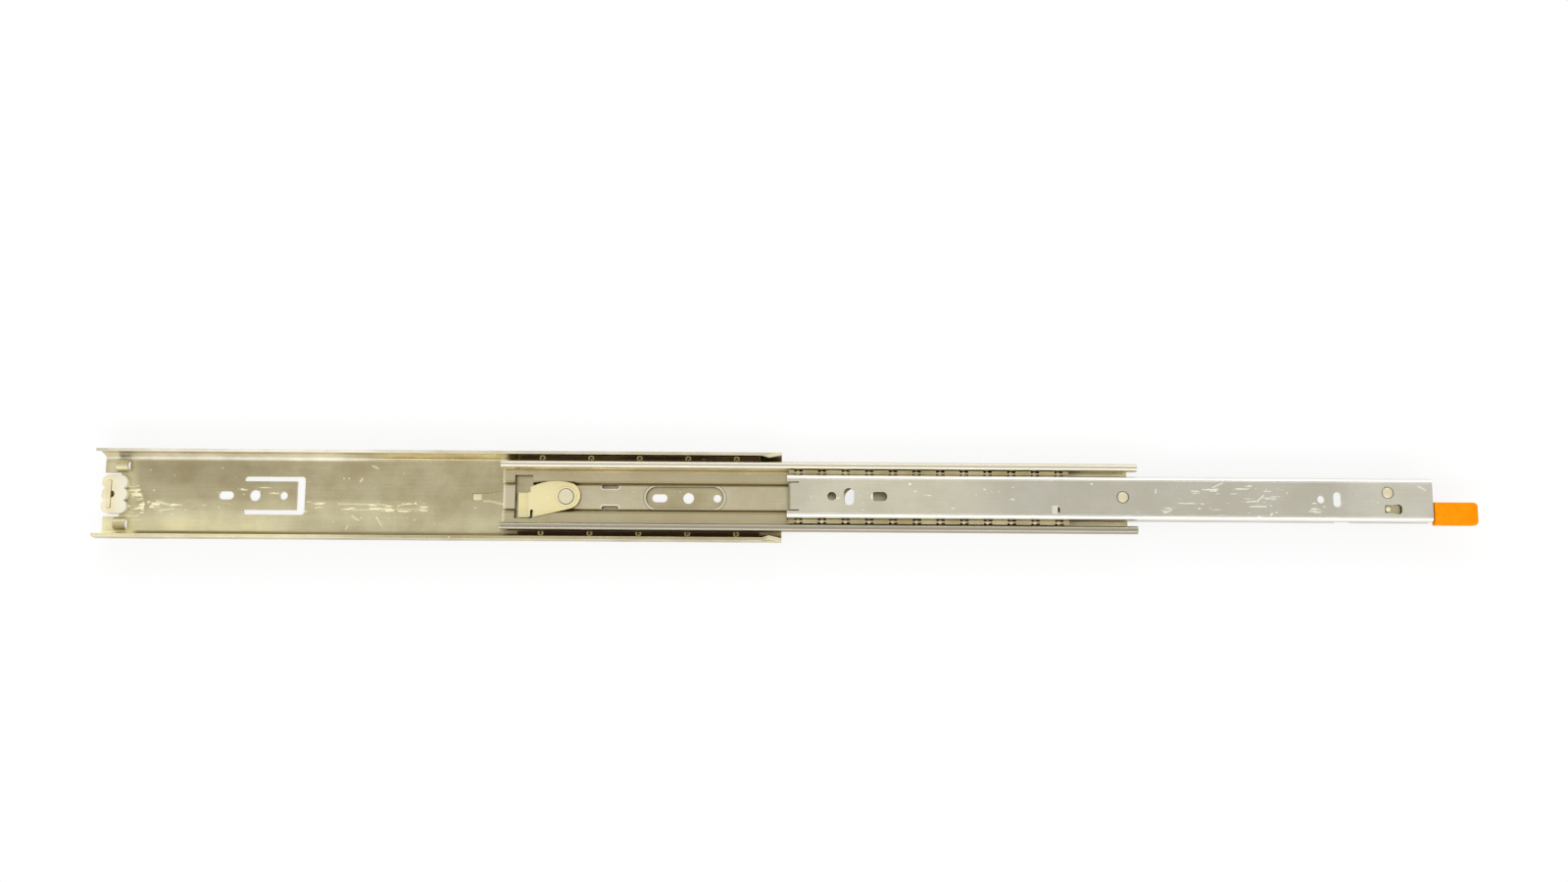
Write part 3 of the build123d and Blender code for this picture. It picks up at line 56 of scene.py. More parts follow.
CAMERA_PLACE = (182.26 * MM, -98.36 * MM, 923.62 * MM)
CAMERA_TURN = (8.21, -0.17, 0.37)
CAMERA_LENS = 36.0
CAMERA_SENSOR = 36.0
CAMERA_NEAR = 0.01
CAMERA_FAR = 100.0


# Floor and lamps

FLOOR_HALF = 15.0
FLOOR_DROP = 0.1 * MM
FLOOR_COLOUR = (0.93, 0.93, 0.925, 1.0)
FLOOR_ROUGH = 0.9
WHITE = (1.0, 1.0, 1.0, 1.0)
FLOOR_GLOW = 0.8            # share of the floor's white that the slide's shadow can't darken
SKY_LOW = 0.98              # white at the horizon
SKY_HIGH = 0.78             # calmer overhead, so that flat webs stay darker than the bends
LAMPS = {
    # name: place, aim, length, width, watts
    "near_box": ((0.15, -1.00, 1.05), (0.18, 0.0, 0.0), 2.6, 0.45, 8.0),
    "far_box": ((0.20, 1.20, 0.85), (0.18, 0.0, 0.0), 2.6, 0.32, 5.6),
}


# Balls: one row each side, mirrored about the middle of the slide

OUTER_COUNT = 5
OUTER_FIRST = 42.95
OUTER_PITCH = 28.4
OUTER_SIDE = 21.95
OUTER_BALLS = {
    "Count": OUTER_COUNT,
    "First": OUTER_FIRST * MM,
    "Pitch": OUTER_PITCH * MM,
    "Side": OUTER_SIDE * MM,
    "Height": 9.3 * MM,
    "Radius": 2.6 * MM,
}
INNER_BALLS = {
    "Count": 12,
    "First": 192.6 * MM,
    "Pitch": 13.8 * MM,
    "Side": 14.15 * MM,
    "Height": 12.2 * MM,
    "Radius": 2.2 * MM,
}
BALL_SEGMENTS = 32
BALL_RINGS = 16


# Finish colours, written as they are seen (sRGB, 0 to 255)

CABINET_TONE = (204, 194, 158)
CABINET_DEEP = (182, 169, 132)
MIDDLE_TONE = (220, 210, 180)
MIDDLE_DEEP = (202, 190, 156)
DRAWER_TONE = (211, 206, 190)
DRAWER_DEEP = (198, 193, 175)
FITTING_TONE = (202, 191, 158)
FITTING_DEEP = (182, 169, 133)
LATCH_TONE = (246, 234, 184)
LATCH_DEEP = (238, 224, 170)
RIVET_TONE = (240, 232, 200)
RIVET_DEEP = (226, 214, 174)
BRIGHT_RUB_AND_HIGHLIGHT = (243, 240, 227)
CREAM_RUB_AND_HIGHLIGHT = (253, 247, 214)
CAGE_TONE = (79, 60, 38)
CAGE_DEEP = (50, 36, 22)
CAGE_RUB_AND_GLINT = (223, 202, 141)
SHADE_BROWN = (64, 50, 28)
BRASS_TONE = (212, 199, 154)
BRASS_DEEP = (172, 154, 101)
WIRE_TONE = (186, 177, 148)
WIRE_DEEP = (135, 121, 86)
BALL_TONE = (252, 242, 206)
BALL_DEEP = (236, 220, 170)
BUMPER_TONE = (238, 229, 196)
BUMPER_DEEP = (228, 217, 180)
BUMPER_RUB_AND_HIGHLIGHT = (247, 244, 234)
BUMPER_PALE = (234, 229, 209)
CAP_TONE = (255, 151, 6)
CAP_DEEP = (252, 140, 2)
CAP_RUB_AND_HIGHLIGHT = (255, 172, 50)


# Scales of the detail in the finishes, in repeats to the metre

CLOUD_SCALE = 40.0
ROLL_SCALE = 1400.0
GRAIN_SCALE = 2400.0
STROKE_SCALE = 800.0
CLUSTER_SCALE = 120.0
NICK_SCALE = 430.0
EDGE_PATCH_SCALE = 900.0
MOULD_CLOUD_SCALE = 160.0
MOULD_SKIN_SCALE = 4200.0


# Strengths of the detail

GRAIN_STRENGTH = 0.35
ROLL_STRETCH = (0.03, 1.0, 1.0)      # rolling lines run long along the slide
STROKE_STRETCH = (0.10, 1.0, 1.0)
NICK_STRETCH = (0.6, 1.0, 1.0)
STEEL_BUMP = 0.14
PLASTIC_BUMP = 0.12
BUMP_DEPTH = 0.05 * MM
MATT = 0.7                           # roughness of rubbed and pale spots
GAP_SHADE_REACH = 1.5 * MM               # gaps up to this size get painted shade
DEEP_GAP_SHADE_REACH = 4.0 * MM
STEEL_GAP_SHADE = 0.85                   # share of painted shade in the tightest gaps
PLASTIC_GAP_SHADE = 0.6
OUTLINE_SHADE = 0.9
FEELERS = 6                          # rays that feel for edges and gaps at each point


# Where the finish is rubbed into strokes: stretch along X, across Y and up Z in mm, each with the width
# over which it fades, and how much of it there is

ABOVE_BACK = (1.3, 30.0, 0.4)    # all but the back of the cabinet member
CABINET_WEAR = (
    (((-194.0, -166.0, 3.0), (-11.5, -3.0, 1.5), ABOVE_BACK), 0.85),
    (((-158.0, -132.0, 3.0), (-9.0, -5.0, 1.5), ABOVE_BACK), 0.8),
    (((-100.0, -86.0, 3.0), (-11.5, -3.5, 1.5), ABOVE_BACK), 0.8),
    (((-80.0, -22.0, 6.0), (-10.0, -4.0, 1.5), ABOVE_BACK), 0.8),
    (((-141.0, -112.0, 3.0), (-1.0, 12.0, 2.0), ABOVE_BACK), 0.6),
    (((-204.0, -193.0, 2.0), (-18.0, 10.0, 4.0), ABOVE_BACK), 0.85),
)
DRAWER_WEAR = (
    (((400.0, 500.0, 10.0), (-10.0, 9.0, 1.5), ABOVE_BACK), 0.5),
    (((200.0, 320.0, 10.0), (-9.0, 9.0, 2.0), ABOVE_BACK), 0.3),
)


# Where the finish is of another colour, most of it painted sheen, reflection, highlight and shade: the
# colour, how much of it, and its stretch as above

GOLD_SHEEN = (254, 247, 206)
CREAM_HIGHLIGHT = (250, 241, 206)
LIP_HIGHLIGHT = (252, 251, 247)
FILLET_REFLECTION = (255, 253, 244)
CHANNEL_LIGHT = (255, 248, 212)
BAND_SHADE = (188, 175, 134)
GOLD_SHADE = (135, 121, 84)
BEAD_SHADE = (115, 102, 68)
LOWER_LIP_SHADE = (163, 157, 141)
UPPER_LIP_SHEEN = (222, 216, 198)
# Cabinet: painted sheen, lighter towards the lower side and the rear end; painted reflection on the upper
# fillet and lip; painted highlights on the flared front corners, the bumper blade and the nub, the nub also
# rubbed
CABINET_PALE = (
    (GOLD_SHEEN, 1.0, ((-240.0, -112.0, 20.0), (-27.0, -12.0, 6.0), (1.3, 2.9, 0.4))),
    (GOLD_SHEEN, 0.35, ((-112.0, 40.0, 20.0), (-27.0, -12.5, 5.0), (1.3, 2.9, 0.4))),
    (GOLD_SHEEN, 0.7, ((-240.0, -60.0, 40.0), (-27.0, -23.8, 0.3), (15.6, 18.0, 0.4))),
    (GOLD_SHEEN, 0.5, ((-216.0, -199.0, 4.0), (-20.0, 20.0, 2.0), ABOVE_BACK)),
    (GOLD_SHEEN, 0.25, ((-195.0, -20.0, 14.0), (-14.0, -3.0, 3.0), ABOVE_BACK)),
    (FILLET_REFLECTION, 0.95, ((-212.0, -60.0, 25.0), (20.8, 25.2, 0.5), (0.0, 7.5, 1.0))),
    (LIP_HIGHLIGHT, 0.9, ((-220.0, -20.0, 60.0), (23.4, 27.0, 0.4), (14.5, 18.0, 0.8))),
    (LIP_HIGHLIGHT, 0.4, ((-20.0, 190.0, 60.0), (23.4, 27.0, 0.4), (14.5, 18.0, 0.8))),
    (CREAM_HIGHLIGHT, 0.6, ((174.0, 190.0, 2.0), (22.0, 28.0, 0.5), (12.0, 18.0, 0.8))),
    (CREAM_HIGHLIGHT, 0.6, ((174.0, 190.0, 2.0), (-28.0, -22.0, 0.5), (12.0, 18.0, 0.8))),
    (CREAM_HIGHLIGHT, 1.0, ((-213.8, -211.2, 0.2), (-8.3, 8.3, 0.2), (5.0, 7.0, 0.3))),
    (CREAM_HIGHLIGHT, 0.9, ((1.0, 6.0, 0.8), (-3.0, 1.6, 0.8), (2.2, 4.0, 0.2))),
)
# Cabinet: painted shade as a dark line along the lower fillet, and on the upper web towards the rear
CABINET_PAINTED_LIGHT = (
    (GOLD_SHADE, 0.95, ((-198.0, 178.0, 3.0), (-24.6, -21.3, 0.7), (1.4, 5.0, 0.4))),
    (GOLD_SHADE, 0.3, ((-196.0, -115.0, 15.0), (6.0, 21.0, 5.0), (1.0, 2.2, 0.3))),
)
# Intermediate: painted highlight along the rolled rear edge
MIDDLE_PALE = (
    (CREAM_HIGHLIGHT, 0.7, ((18.0, 20.2, 0.8), (-17.0, 17.0, 1.0), ABOVE_BACK)),
)
# Intermediate: painted light in the shaded front channel, painted shade along the bead sides, side bands
# and lower lip, and painted sheen on the upper lip
MIDDLE_PAINTED_LIGHT = (
    (CHANNEL_LIGHT, 1.0, ((356.0, 395.0, 4.0), (10.8, 18.0, 0.5), (0.0, 12.0, 1.0))),
    (CHANNEL_LIGHT, 1.0, ((356.0, 395.0, 4.0), (-18.0, -10.8, 0.5), (0.0, 12.0, 1.0))),
    (BEAD_SHADE, 0.9, ((20.0, 392.0, 2.0), (6.7, 9.3, 0.4), (4.0, 7.0, 0.3))),
    (BEAD_SHADE, 0.9, ((20.0, 392.0, 2.0), (-9.6, -6.9, 0.4), (4.0, 7.0, 0.3))),
    (BAND_SHADE, 0.5, ((20.0, 392.0, 2.0), (9.0, 17.0, 0.8), (4.0, 7.0, 0.3))),
    (BAND_SHADE, 0.6, ((20.0, 392.0, 2.0), (-17.0, -9.0, 0.8), (4.0, 7.0, 0.3))),
    (LOWER_LIP_SHADE, 0.9, ((19.0, 392.0, 2.0), (-20.8, -15.6, 0.3), (14.0, 18.0, 0.5))),
    (UPPER_LIP_SHEEN, 0.8, ((19.0, 392.0, 2.0), (15.6, 20.8, 0.4), (14.0, 18.0, 0.5))),
)
# Drawer: painted highlights along both edges
DRAWER_PAINTED_LIGHT = (
    (LIP_HIGHLIGHT, 0.8, ((180.0, 565.0, 1.0), (10.6, 13.5, 0.5), (17.4, 20.0, 0.6))),
    (LIP_HIGHLIGHT, 0.8, ((180.0, 565.0, 1.0), (-13.5, -10.6, 0.5), (17.4, 20.0, 0.6))),
)
# Drawer: painted highlight on the pressed dimple, and paler towards both ends
DRAWER_PALE = (
    (BRIGHT_RUB_AND_HIGHLIGHT, 0.8, ((339.6, 343.4, 0.4), (-9.2, -4.8, 0.4), ABOVE_BACK)),
    (BRIGHT_RUB_AND_HIGHLIGHT, 0.3, ((515.0, 565.0, 15.0), (-11.0, 11.0, 1.0), ABOVE_BACK)),
    (GOLD_SHEEN, 0.25, ((180.0, 300.0, 30.0), (-11.0, 11.0, 1.0), ABOVE_BACK)),
)
# Painted highlight on the lock pin
FITTING_PALE = (
    (CREAM_HIGHLIGHT, 1.0, ((533.2, 537.0, 0.2), (-7.2, -3.6, 0.2), (17.6, 20.0, 0.2))),
)
# Painted shade on the lower outer cage
CAGE_LOWER_SHADE = (
    (CAGE_DEEP, 0.8, ((30.0, 190.0, 4.0), (-27.0, -16.0, 1.0), (0.0, 20.0, 1.0))),
)
BUMPER_FRONT = ((-208.0, -195.0, 2.5), (-20.0, 20.0, 2.5), ABOVE_BACK)


# Nicks, painted highlights and painted shade outlines: from, to (mm), how far from that line the mark lies,
# its half width, and how strong

CABINET_NICKS_AND_HIGHLIGHTS = (
    ((-59.2, 18.0), (-56.1, 16.6), 0.0, 0.9, 1.0),
    ((-55.8, -12.4), (-52.6, -17.2), 0.0, 0.8, 1.0),
    ((-70.2, -11.9), (-66.2, -14.3), 0.0, 0.9, 1.0),
    ((-72.4, -17.6), (-73.6, -19.6), 0.0, 0.8, 1.0),
    ((-65.0, 10.3), (-66.2, 8.6), 0.0, 0.8, 1.0),
    ((-190.5, 14.9), (-190.4, 14.8), 0.0, 0.9, 1.0),
    ((-176.0, 11.6), (-175.9, 11.5), 0.0, 0.9, 1.0),
    ((-148.0, 16.2), (-147.8, 16.1), 0.0, 0.9, 1.0),
    ((-185.5, -4.0), (-178.0, -6.0), 0.0, 1.3, 0.8),
    ((-183.0, -9.0), (-175.5, -8.0), 0.0, 1.0, 0.8),
    ((-79.0, -4.6), (-50.0, -5.0), 0.0, 0.5, 0.8),
    ((-70.0, -8.2), (-30.0, -7.4), 0.0, 0.5, 0.8),
    # Painted highlights along the lower edge of the pressed arrow
    ((7.0, -2.4), (10.7, -2.5), 0.0, 0.8, 1.0),
    ((10.7, -2.5), (25.0, -5.6), 0.0, 0.8, 1.0),
)
# Painted highlights round the lance slots and the screw window, and two nicks
MIDDLE_HIGHLIGHTS_AND_NICKS = (
    ((78.1, 6.2), (85.9, 6.2), 1.5, 0.7, 1.0),
    ((78.1, -6.2), (85.9, -6.2), 1.5, 0.7, 1.0),
    ((109.6, 0.0), (142.4, 0.0), 7.1, 0.6, 0.6),
    ((105.0, -8.6), (106.2, -8.7), 0.0, 0.5, 0.6),
    ((218.0, -9.4), (219.0, -9.2), 0.0, 0.5, 0.6),
)
# Painted shade round the inside of the screw window
MIDDLE_SHADE_OUTLINES = (
    ((109.6, 0.0), (142.4, 0.0), 8.0, 0.5, 0.5),
)
LATCH_NICKS = (
    ((56.5, 0.0), (56.5, 0.0), 5.4, 0.7, 0.3),
)
DRAWER_NICKS = (
    ((433.2, 6.5), (438.9, 9.2), 0.0, 0.8, 1.0),
    ((459.2, -1.0), (462.6, 2.0), 0.0, 0.7, 1.0),
    ((454.8, -4.4), (463.9, -4.3), 0.0, 0.7, 1.0),
    ((400.0, 3.0), (400.2, 5.2), 0.0, 0.7, 1.0),
    ((421.0, 4.4), (425.0, 4.2), 0.0, 0.7, 1.0),
    ((405.0, -8.6), (409.0, -6.6), 0.0, 0.7, 1.0),
    ((553.0, 8.0), (557.0, 5.8), 0.0, 0.8, 1.0),
    ((300.4, 4.6), (301.0, 4.4), 0.0, 0.8, 1.0),
    ((316.0, -1.0), (317.6, -1.2), 0.0, 0.8, 1.0),
    ((489.0, -7.0), (493.0, -6.6), 0.0, 0.7, 1.0),
)
# Painted shade rings round the heads of the stop rivet and the spring post
DRAWER_SHADE_RINGS = (
    ((381.0, 0.6), (381.0, 0.6), 3.5, 0.5, 0.8),
    ((535.0, 4.2), (535.0, 4.2), 3.5, 0.5, 0.8),
)
CAGE_HOLES = [
    (OUTER_FIRST + OUTER_PITCH * ball, side * OUTER_SIDE) for side in (1, -1) for ball in range(OUTER_COUNT)
]
# Painted glints ringing the sight hole over each ball
CAGE_GLINTS = tuple((hole, hole, 1.2, 0.8, 1.0) for hole in CAGE_HOLES)


# Torsion spring of the front lock

WIRE_D = 1.0 * MM
WIRE_SIDES = 16
COIL_D = 9.8 * MM
COIL_TURNS = 2
COIL_TOP = 14.2 * MM
COIL_FOOT = 11.3 * MM
COIL_STEPS = 40
POST_PLACE = Vector((535.0 * MM, 4.2 * MM, 0.0))
LEG_HEADING = math.radians(19.1)
LONG_LEG = 26.03 * MM
SHORT_LEG = 11.4 * MM
HOOK_TOP = 16.9 * MM
HOOK_BEND = 1.2 * MM
HOOK_STEPS = 8


def shade(colour):
    """A seen colour as the linear value that a shader takes."""
    linear = []
    for level in colour:
        part = level / 255
        linear.append(part / 12.92 if part <= 0.04045 else ((part + 0.055) / 1.055) ** 2.4)
    return (*linear, 1.0)


# Small helpers for node trees


def add_node(tree, kind, inputs=None, **settings):
    """A new node with its settings and its unlinked input values."""
    node = tree.nodes.new(kind)
    for name, value in settings.items():
        setattr(node, name, value)
    for key, value in (inputs or {}).items():
        if isinstance(value, bpy.types.NodeSocket):
            tree.links.new(value, node.inputs[key])
        else:
            node.inputs[key].default_value = value
    return node


def arithmetic(tree, operation, first, second=0.0):
    """The result of one sum on two values."""
    return add_node(tree, "ShaderNodeMath", {0: first, 1: second}, operation=operation).outputs[0]


def vector_sum(tree, operation, first, second=(0.0, 0.0, 0.0)):
    """The result of one sum on two vectors: a vector, or a value for a product or a distance."""
    node = add_node(tree, "ShaderNodeVectorMath", {0: first, 1: second}, operation=operation)
    return node.outputs["Value" if operation in ("DOT_PRODUCT", "DISTANCE") else "Vector"]


def between(tree, value, low, high):
    """A mask that rises smoothly from 0 at low to 1 at high."""
    node = add_node(
        tree,
        "ShaderNodeMapRange",
        {"Value": value, "From Min": low, "From Max": high},
        interpolation_type="SMOOTHSTEP",
    )
    return node.outputs["Result"]


def stretched(tree, vector, scale):
    """Coordinates scaled by a different amount along each direction."""
    return add_node(tree, "ShaderNodeMapping", {"Vector": vector, "Scale": scale}).outputs["Vector"]


def noise(tree, vector, scale, detail=3.0, roughness=0.5):
    """Plain noise, 0 to 1, about 0.5."""
    node = add_node(
        tree,
        "ShaderNodeTexNoise",
        {"Vector": vector, "Scale": scale, "Detail": detail, "Roughness": roughness},
    )
    return node.outputs["Fac"]


def blend_colours(tree, factor, first, second):
    """One colour laid over another by a mask."""
    node = add_node(tree, "ShaderNodeMix", data_type="RGBA")
    for socket, value in ((node.inputs[0], factor), (node.inputs[6], first), (node.inputs[7], second)):
        if isinstance(value, bpy.types.NodeSocket):
            tree.links.new(value, socket)
        else:
            socket.default_value = value
    return node.outputs[2]


def shader_group(name, inputs, outputs):
    """An empty shader group with named sockets, and its two end nodes."""
    tree = bpy.data.node_groups.new(name, "ShaderNodeTree")
    for label, kind, value in inputs:
        socket = tree.interface.new_socket(label, in_out="INPUT", socket_type=kind)
        if value is not None:
            socket.default_value = value
    for label, kind in outputs:
        tree.interface.new_socket(label, in_out="OUTPUT", socket_type=kind)
    return tree, add_node(tree, "NodeGroupInput"), add_node(tree, "NodeGroupOutput")


# Shared effects of the finishes


def make_edge_wear_and_highlight():
    """Mask of rubbed outer edges, which also paints a highlight along them, and a normal that rounds every
    edge a little.
    """
    tree, start, end = shader_group(
        "edge_wear_and_highlight",
        [
            ("Radius", "NodeSocketFloat", 0.4 * MM),
            ("Reach", "NodeSocketFloat", 0.25),
            ("Position", "NodeSocketVector", None),
        ],
        [("Mask", "NodeSocketFloat"), ("Normal", "NodeSocketVector")],
    )
    soft = add_node(tree, "ShaderNodeBevel", {"Radius": start.outputs["Radius"]}, samples=FEELERS)
    facing = add_node(tree, "ShaderNodeNewGeometry").outputs["Normal"]
    likeness = vector_sum(tree, "DOT_PRODUCT", soft.outputs["Normal"], facing)
    bent = arithmetic(tree, "SUBTRACT", 1.0, likeness)
    patchy = noise(tree, start.outputs["Position"], EDGE_PATCH_SCALE, 2.0)
    bent = arithmetic(tree, "MULTIPLY", bent, arithmetic(tree, "ADD", patchy, 0.6))
    mask = add_node(
        tree,
        "ShaderNodeMapRange",
        {"Value": bent, "From Min": 0.02, "From Max": start.outputs["Reach"]},
    )
    tree.links.new(mask.outputs["Result"], end.inputs["Mask"])
    tree.links.new(soft.outputs["Normal"], end.inputs["Normal"])
    return tree


def make_plating():
    """Plated sheet: cloudy tone, rolling lines along the slide, fine sparkle."""
    tree, start, end = shader_group(
        "plating",
        [
            ("Position", "NodeSocketVector", None),
            ("Tone", "NodeSocketColor", None),
            ("Deep tone", "NodeSocketColor", None),
            ("Cloud scale", "NodeSocketFloat", CLOUD_SCALE),
            ("Rolling", "NodeSocketFloat", 0.3),
        ],
        [
            ("Colour", "NodeSocketColor"),
            ("Polish", "NodeSocketFloat"),
            ("Height", "NodeSocketFloat"),
        ],
    )
    position = start.outputs["Position"]
    cloud = noise(tree, position, start.outputs["Cloud scale"], 4.0, 0.6)
    lines = noise(tree, stretched(tree, position, ROLL_STRETCH), ROLL_SCALE, 3.0, 0.6)
    grain = noise(tree, position, GRAIN_SCALE, 2.0, 0.6)
    lines = arithmetic(tree, "MULTIPLY", arithmetic(tree, "SUBTRACT", lines, 0.5), start.outputs["Rolling"])
    speck = arithmetic(tree, "MULTIPLY", arithmetic(tree, "SUBTRACT", grain, 0.5), GRAIN_STRENGTH)
    mottle = arithmetic(tree, "ADD", arithmetic(tree, "ADD", cloud, lines), speck)
    depth = between(tree, mottle, 0.3, 0.7)
    colour = blend_colours(tree, depth, start.outputs["Deep tone"], start.outputs["Tone"])
    tree.links.new(colour, end.inputs["Colour"])
    tree.links.new(depth, end.inputs["Polish"])
    height = arithmetic(tree, "MULTIPLY", arithmetic(tree, "ADD", lines, speck), 0.4)
    tree.links.new(height, end.inputs["Height"])
    return tree


def make_scuffs():
    """Long rubbed strokes in clusters and a few nicks, more of them as the amount rises."""
    tree, start, end = shader_group(
        "scuffs",
        [("Position", "NodeSocketVector", None), ("Amount", "NodeSocketFloat", 0.2)],
        [("Mask", "NodeSocketFloat")],
    )
    position = start.outputs["Position"]
    strokes = noise(tree, stretched(tree, position, STROKE_STRETCH), STROKE_SCALE, 3.0, 0.6)
    clusters = noise(tree, position, CLUSTER_SCALE, 2.0)
    nicks = noise(tree, stretched(tree, position, NICK_STRETCH), NICK_SCALE, 2.0, 0.5)
    eased = arithmetic(tree, "MULTIPLY", start.outputs["Amount"], 0.22)
    limit = arithmetic(tree, "SUBTRACT", 0.74, eased)
    stroke_mask = between(tree, strokes, limit, arithmetic(tree, "ADD", limit, 0.05))
    gather = arithmetic(tree, "SUBTRACT", 0.64, eased)
    where = between(tree, clusters, gather, arithmetic(tree, "ADD", gather, 0.06))
    nick_limit = arithmetic(tree, "SUBTRACT", 0.745, arithmetic(tree, "MULTIPLY", eased, 0.35))
    nick_mask = between(tree, nicks, nick_limit, arithmetic(tree, "ADD", nick_limit, 0.02))
    mask = arithmetic(tree, "MAXIMUM", arithmetic(tree, "MULTIPLY", stroke_mask, where), nick_mask)
    tree.links.new(mask, end.inputs["Mask"])
    return tree


def make_spot():
    """Mask of a box-shaped spot, 1 in its middle and fading at its rims."""
    tree, start, end = shader_group(
        "spot",
        [(label, "NodeSocketVector", None) for label in ("Position", "Middle", "Half", "Fade")],
        [("Mask", "NodeSocketFloat")],
    )
    apart = vector_sum(tree, "SUBTRACT", start.outputs["Position"], start.outputs["Middle"])
    inside = vector_sum(tree, "SUBTRACT", start.outputs["Half"], vector_sum(tree, "ABSOLUTE", apart))
    share = vector_sum(tree, "DIVIDE", inside, start.outputs["Fade"])
    split = add_node(tree, "ShaderNodeSeparateXYZ", {"Vector": share})
    along, across, up = [between(tree, split.outputs[axis], -1.0, 1.0) for axis in "XYZ"]
    mask = arithmetic(tree, "MULTIPLY", arithmetic(tree, "MULTIPLY", along, across), up)
    tree.links.new(mask, end.inputs["Mask"])
    return tree


def make_stroke():
    """Mask of a straight stroke seen from above or, with a radius, of the outline round it."""
    tree, start, end = shader_group(
        "stroke",
        [
            ("Position", "NodeSocketVector", None),
            ("Start", "NodeSocketVector", None),
            ("Span", "NodeSocketVector", None),
            ("Radius", "NodeSocketFloat", 0.0),
            ("Half width", "NodeSocketFloat", 0.5 * MM),
        ],
        [("Mask", "NodeSocketFloat")],
    )
    span = start.outputs["Span"]
    apart = vector_sum(tree, "SUBTRACT", start.outputs["Position"], start.outputs["Start"])
    flat = vector_sum(tree, "MULTIPLY", apart, (1.0, 1.0, 0.0))
    reach = vector_sum(tree, "DOT_PRODUCT", flat, span)
    share = arithmetic(tree, "DIVIDE", reach, vector_sum(tree, "DOT_PRODUCT", span, span))
    share = arithmetic(tree, "MINIMUM", arithmetic(tree, "MAXIMUM", share, 0.0), 1.0)
    scaled = add_node(tree, "ShaderNodeCombineXYZ", {"X": share, "Y": share, "Z": share}).outputs[0]
    nearest = vector_sum(tree, "MULTIPLY", span, scaled)
    distance = vector_sum(tree, "DISTANCE", flat, nearest)
    off = arithmetic(tree, "ABSOLUTE", arithmetic(tree, "SUBTRACT", distance, start.outputs["Radius"]))
    mask = between(tree, off, start.outputs["Half width"], 0.0)
    tree.links.new(mask, end.inputs["Mask"])
    return tree


EDGE_WEAR_AND_HIGHLIGHT = make_edge_wear_and_highlight()
PLATING = make_plating()
SCUFFS = make_scuffs()
SPOT = make_spot()
STROKE = make_stroke()


# Materials


def new_material(name):
    """A material with an empty tree and its output and shader nodes."""
    material = bpy.data.materials.new(name)
    material.use_nodes = True
    tree = material.node_tree
    tree.nodes.clear()
    shader = add_node(tree, "ShaderNodeBsdfPrincipled")
    output = add_node(tree, "ShaderNodeOutputMaterial")
    tree.links.new(shader.outputs["BSDF"], output.inputs["Surface"])
    return material, tree, shader


def spot_mask(tree, position, stretches):
    """Mask of a spot from its stretches along X, Y and Z, each with its fade."""
    middle = [(low + high) / 2 * MM for low, high, fade in stretches]
    half = [(high - low) / 2 * MM for low, high, fade in stretches]
    fade = [fade * MM for low, high, fade in stretches]
    inputs = {"Position": position, "Middle": middle, "Half": half, "Fade": fade}
    return add_node(tree, "ShaderNodeGroup", inputs, node_tree=SPOT).outputs["Mask"]


def wear_amount(tree, position, plain, wear):
    """How scuffed the surface is: the plain amount, and more on the given stretches."""
    total = plain
    for stretches, amount in wear:
        more = arithmetic(tree, "MULTIPLY", spot_mask(tree, position, stretches), amount)
        total = arithmetic(tree, "ADD", more, total)
    return total


def lay_spots(tree, position, colour, spots, grain):
    """Lays spots of other colours over a colour, and gives the share that they cover."""
    cover = 0.0
    for tone, amount, stretches in spots:
        share = arithmetic(tree, "MULTIPLY", spot_mask(tree, position, stretches), amount)
        share = arithmetic(tree, "MULTIPLY", share, grain)
        colour = blend_colours(tree, share, colour, shade(tone))
        cover = arithmetic(tree, "MAXIMUM", share, cover)
    return colour, cover


def stroke_sum(tree, position, strokes):
    """Mask of all the given marks together: nicks and painted highlights, or painted shade outlines."""
    total = 0.0
    for (x0, y0), (x1, y1), radius, half_width, strength in strokes:
        inputs = {
            "Position": position,
            "Start": (x0 * MM, y0 * MM, 0.0),
            "Span": ((x1 - x0) * MM, (y1 - y0) * MM, 0.0),
            "Radius": radius * MM,
            "Half width": half_width * MM,
        }
        mask = add_node(tree, "ShaderNodeGroup", inputs, node_tree=STROKE).outputs["Mask"]
        total = arithmetic(tree, "MAXIMUM", arithmetic(tree, "MULTIPLY", mask, strength), total)
    return total


def front_mask(tree, position):
    """1 all over, but 0 on the back of the cabinet member, which lies against the cabinet."""
    low, _, fade = ABOVE_BACK
    height = add_node(tree, "ShaderNodeSeparateXYZ", {"Vector": position}).outputs["Z"]
    return between(tree, height, (low - fade) * MM, (low + fade) * MM)


def gap_shade_mask(tree, position, reach, most):
    """Painted shade in narrow gaps and inner corners, darker the more nearby surfaces hide them."""
    feel = add_node(tree, "ShaderNodeAmbientOcclusion", {"Distance": reach}, samples=FEELERS)
    gap = arithmetic(tree, "MULTIPLY", between(tree, feel.outputs["AO"], 0.65, 0.25), most)
    return arithmetic(tree, "MULTIPLY", gap, front_mask(tree, position))


def finish_surface(tree, shader, colour, rough, height, normal, bump):
    """Joins the finished channels to the shader."""
    tree.links.new(colour, shader.inputs["Base Color"])
    tree.links.new(rough, shader.inputs["Roughness"])
    relief = add_node(
        tree,
        "ShaderNodeBump",
        {"Strength": bump, "Distance": BUMP_DEPTH, "Height": height, "Normal": normal},
    )
    tree.links.new(relief.outputs["Normal"], shader.inputs["Normal"])


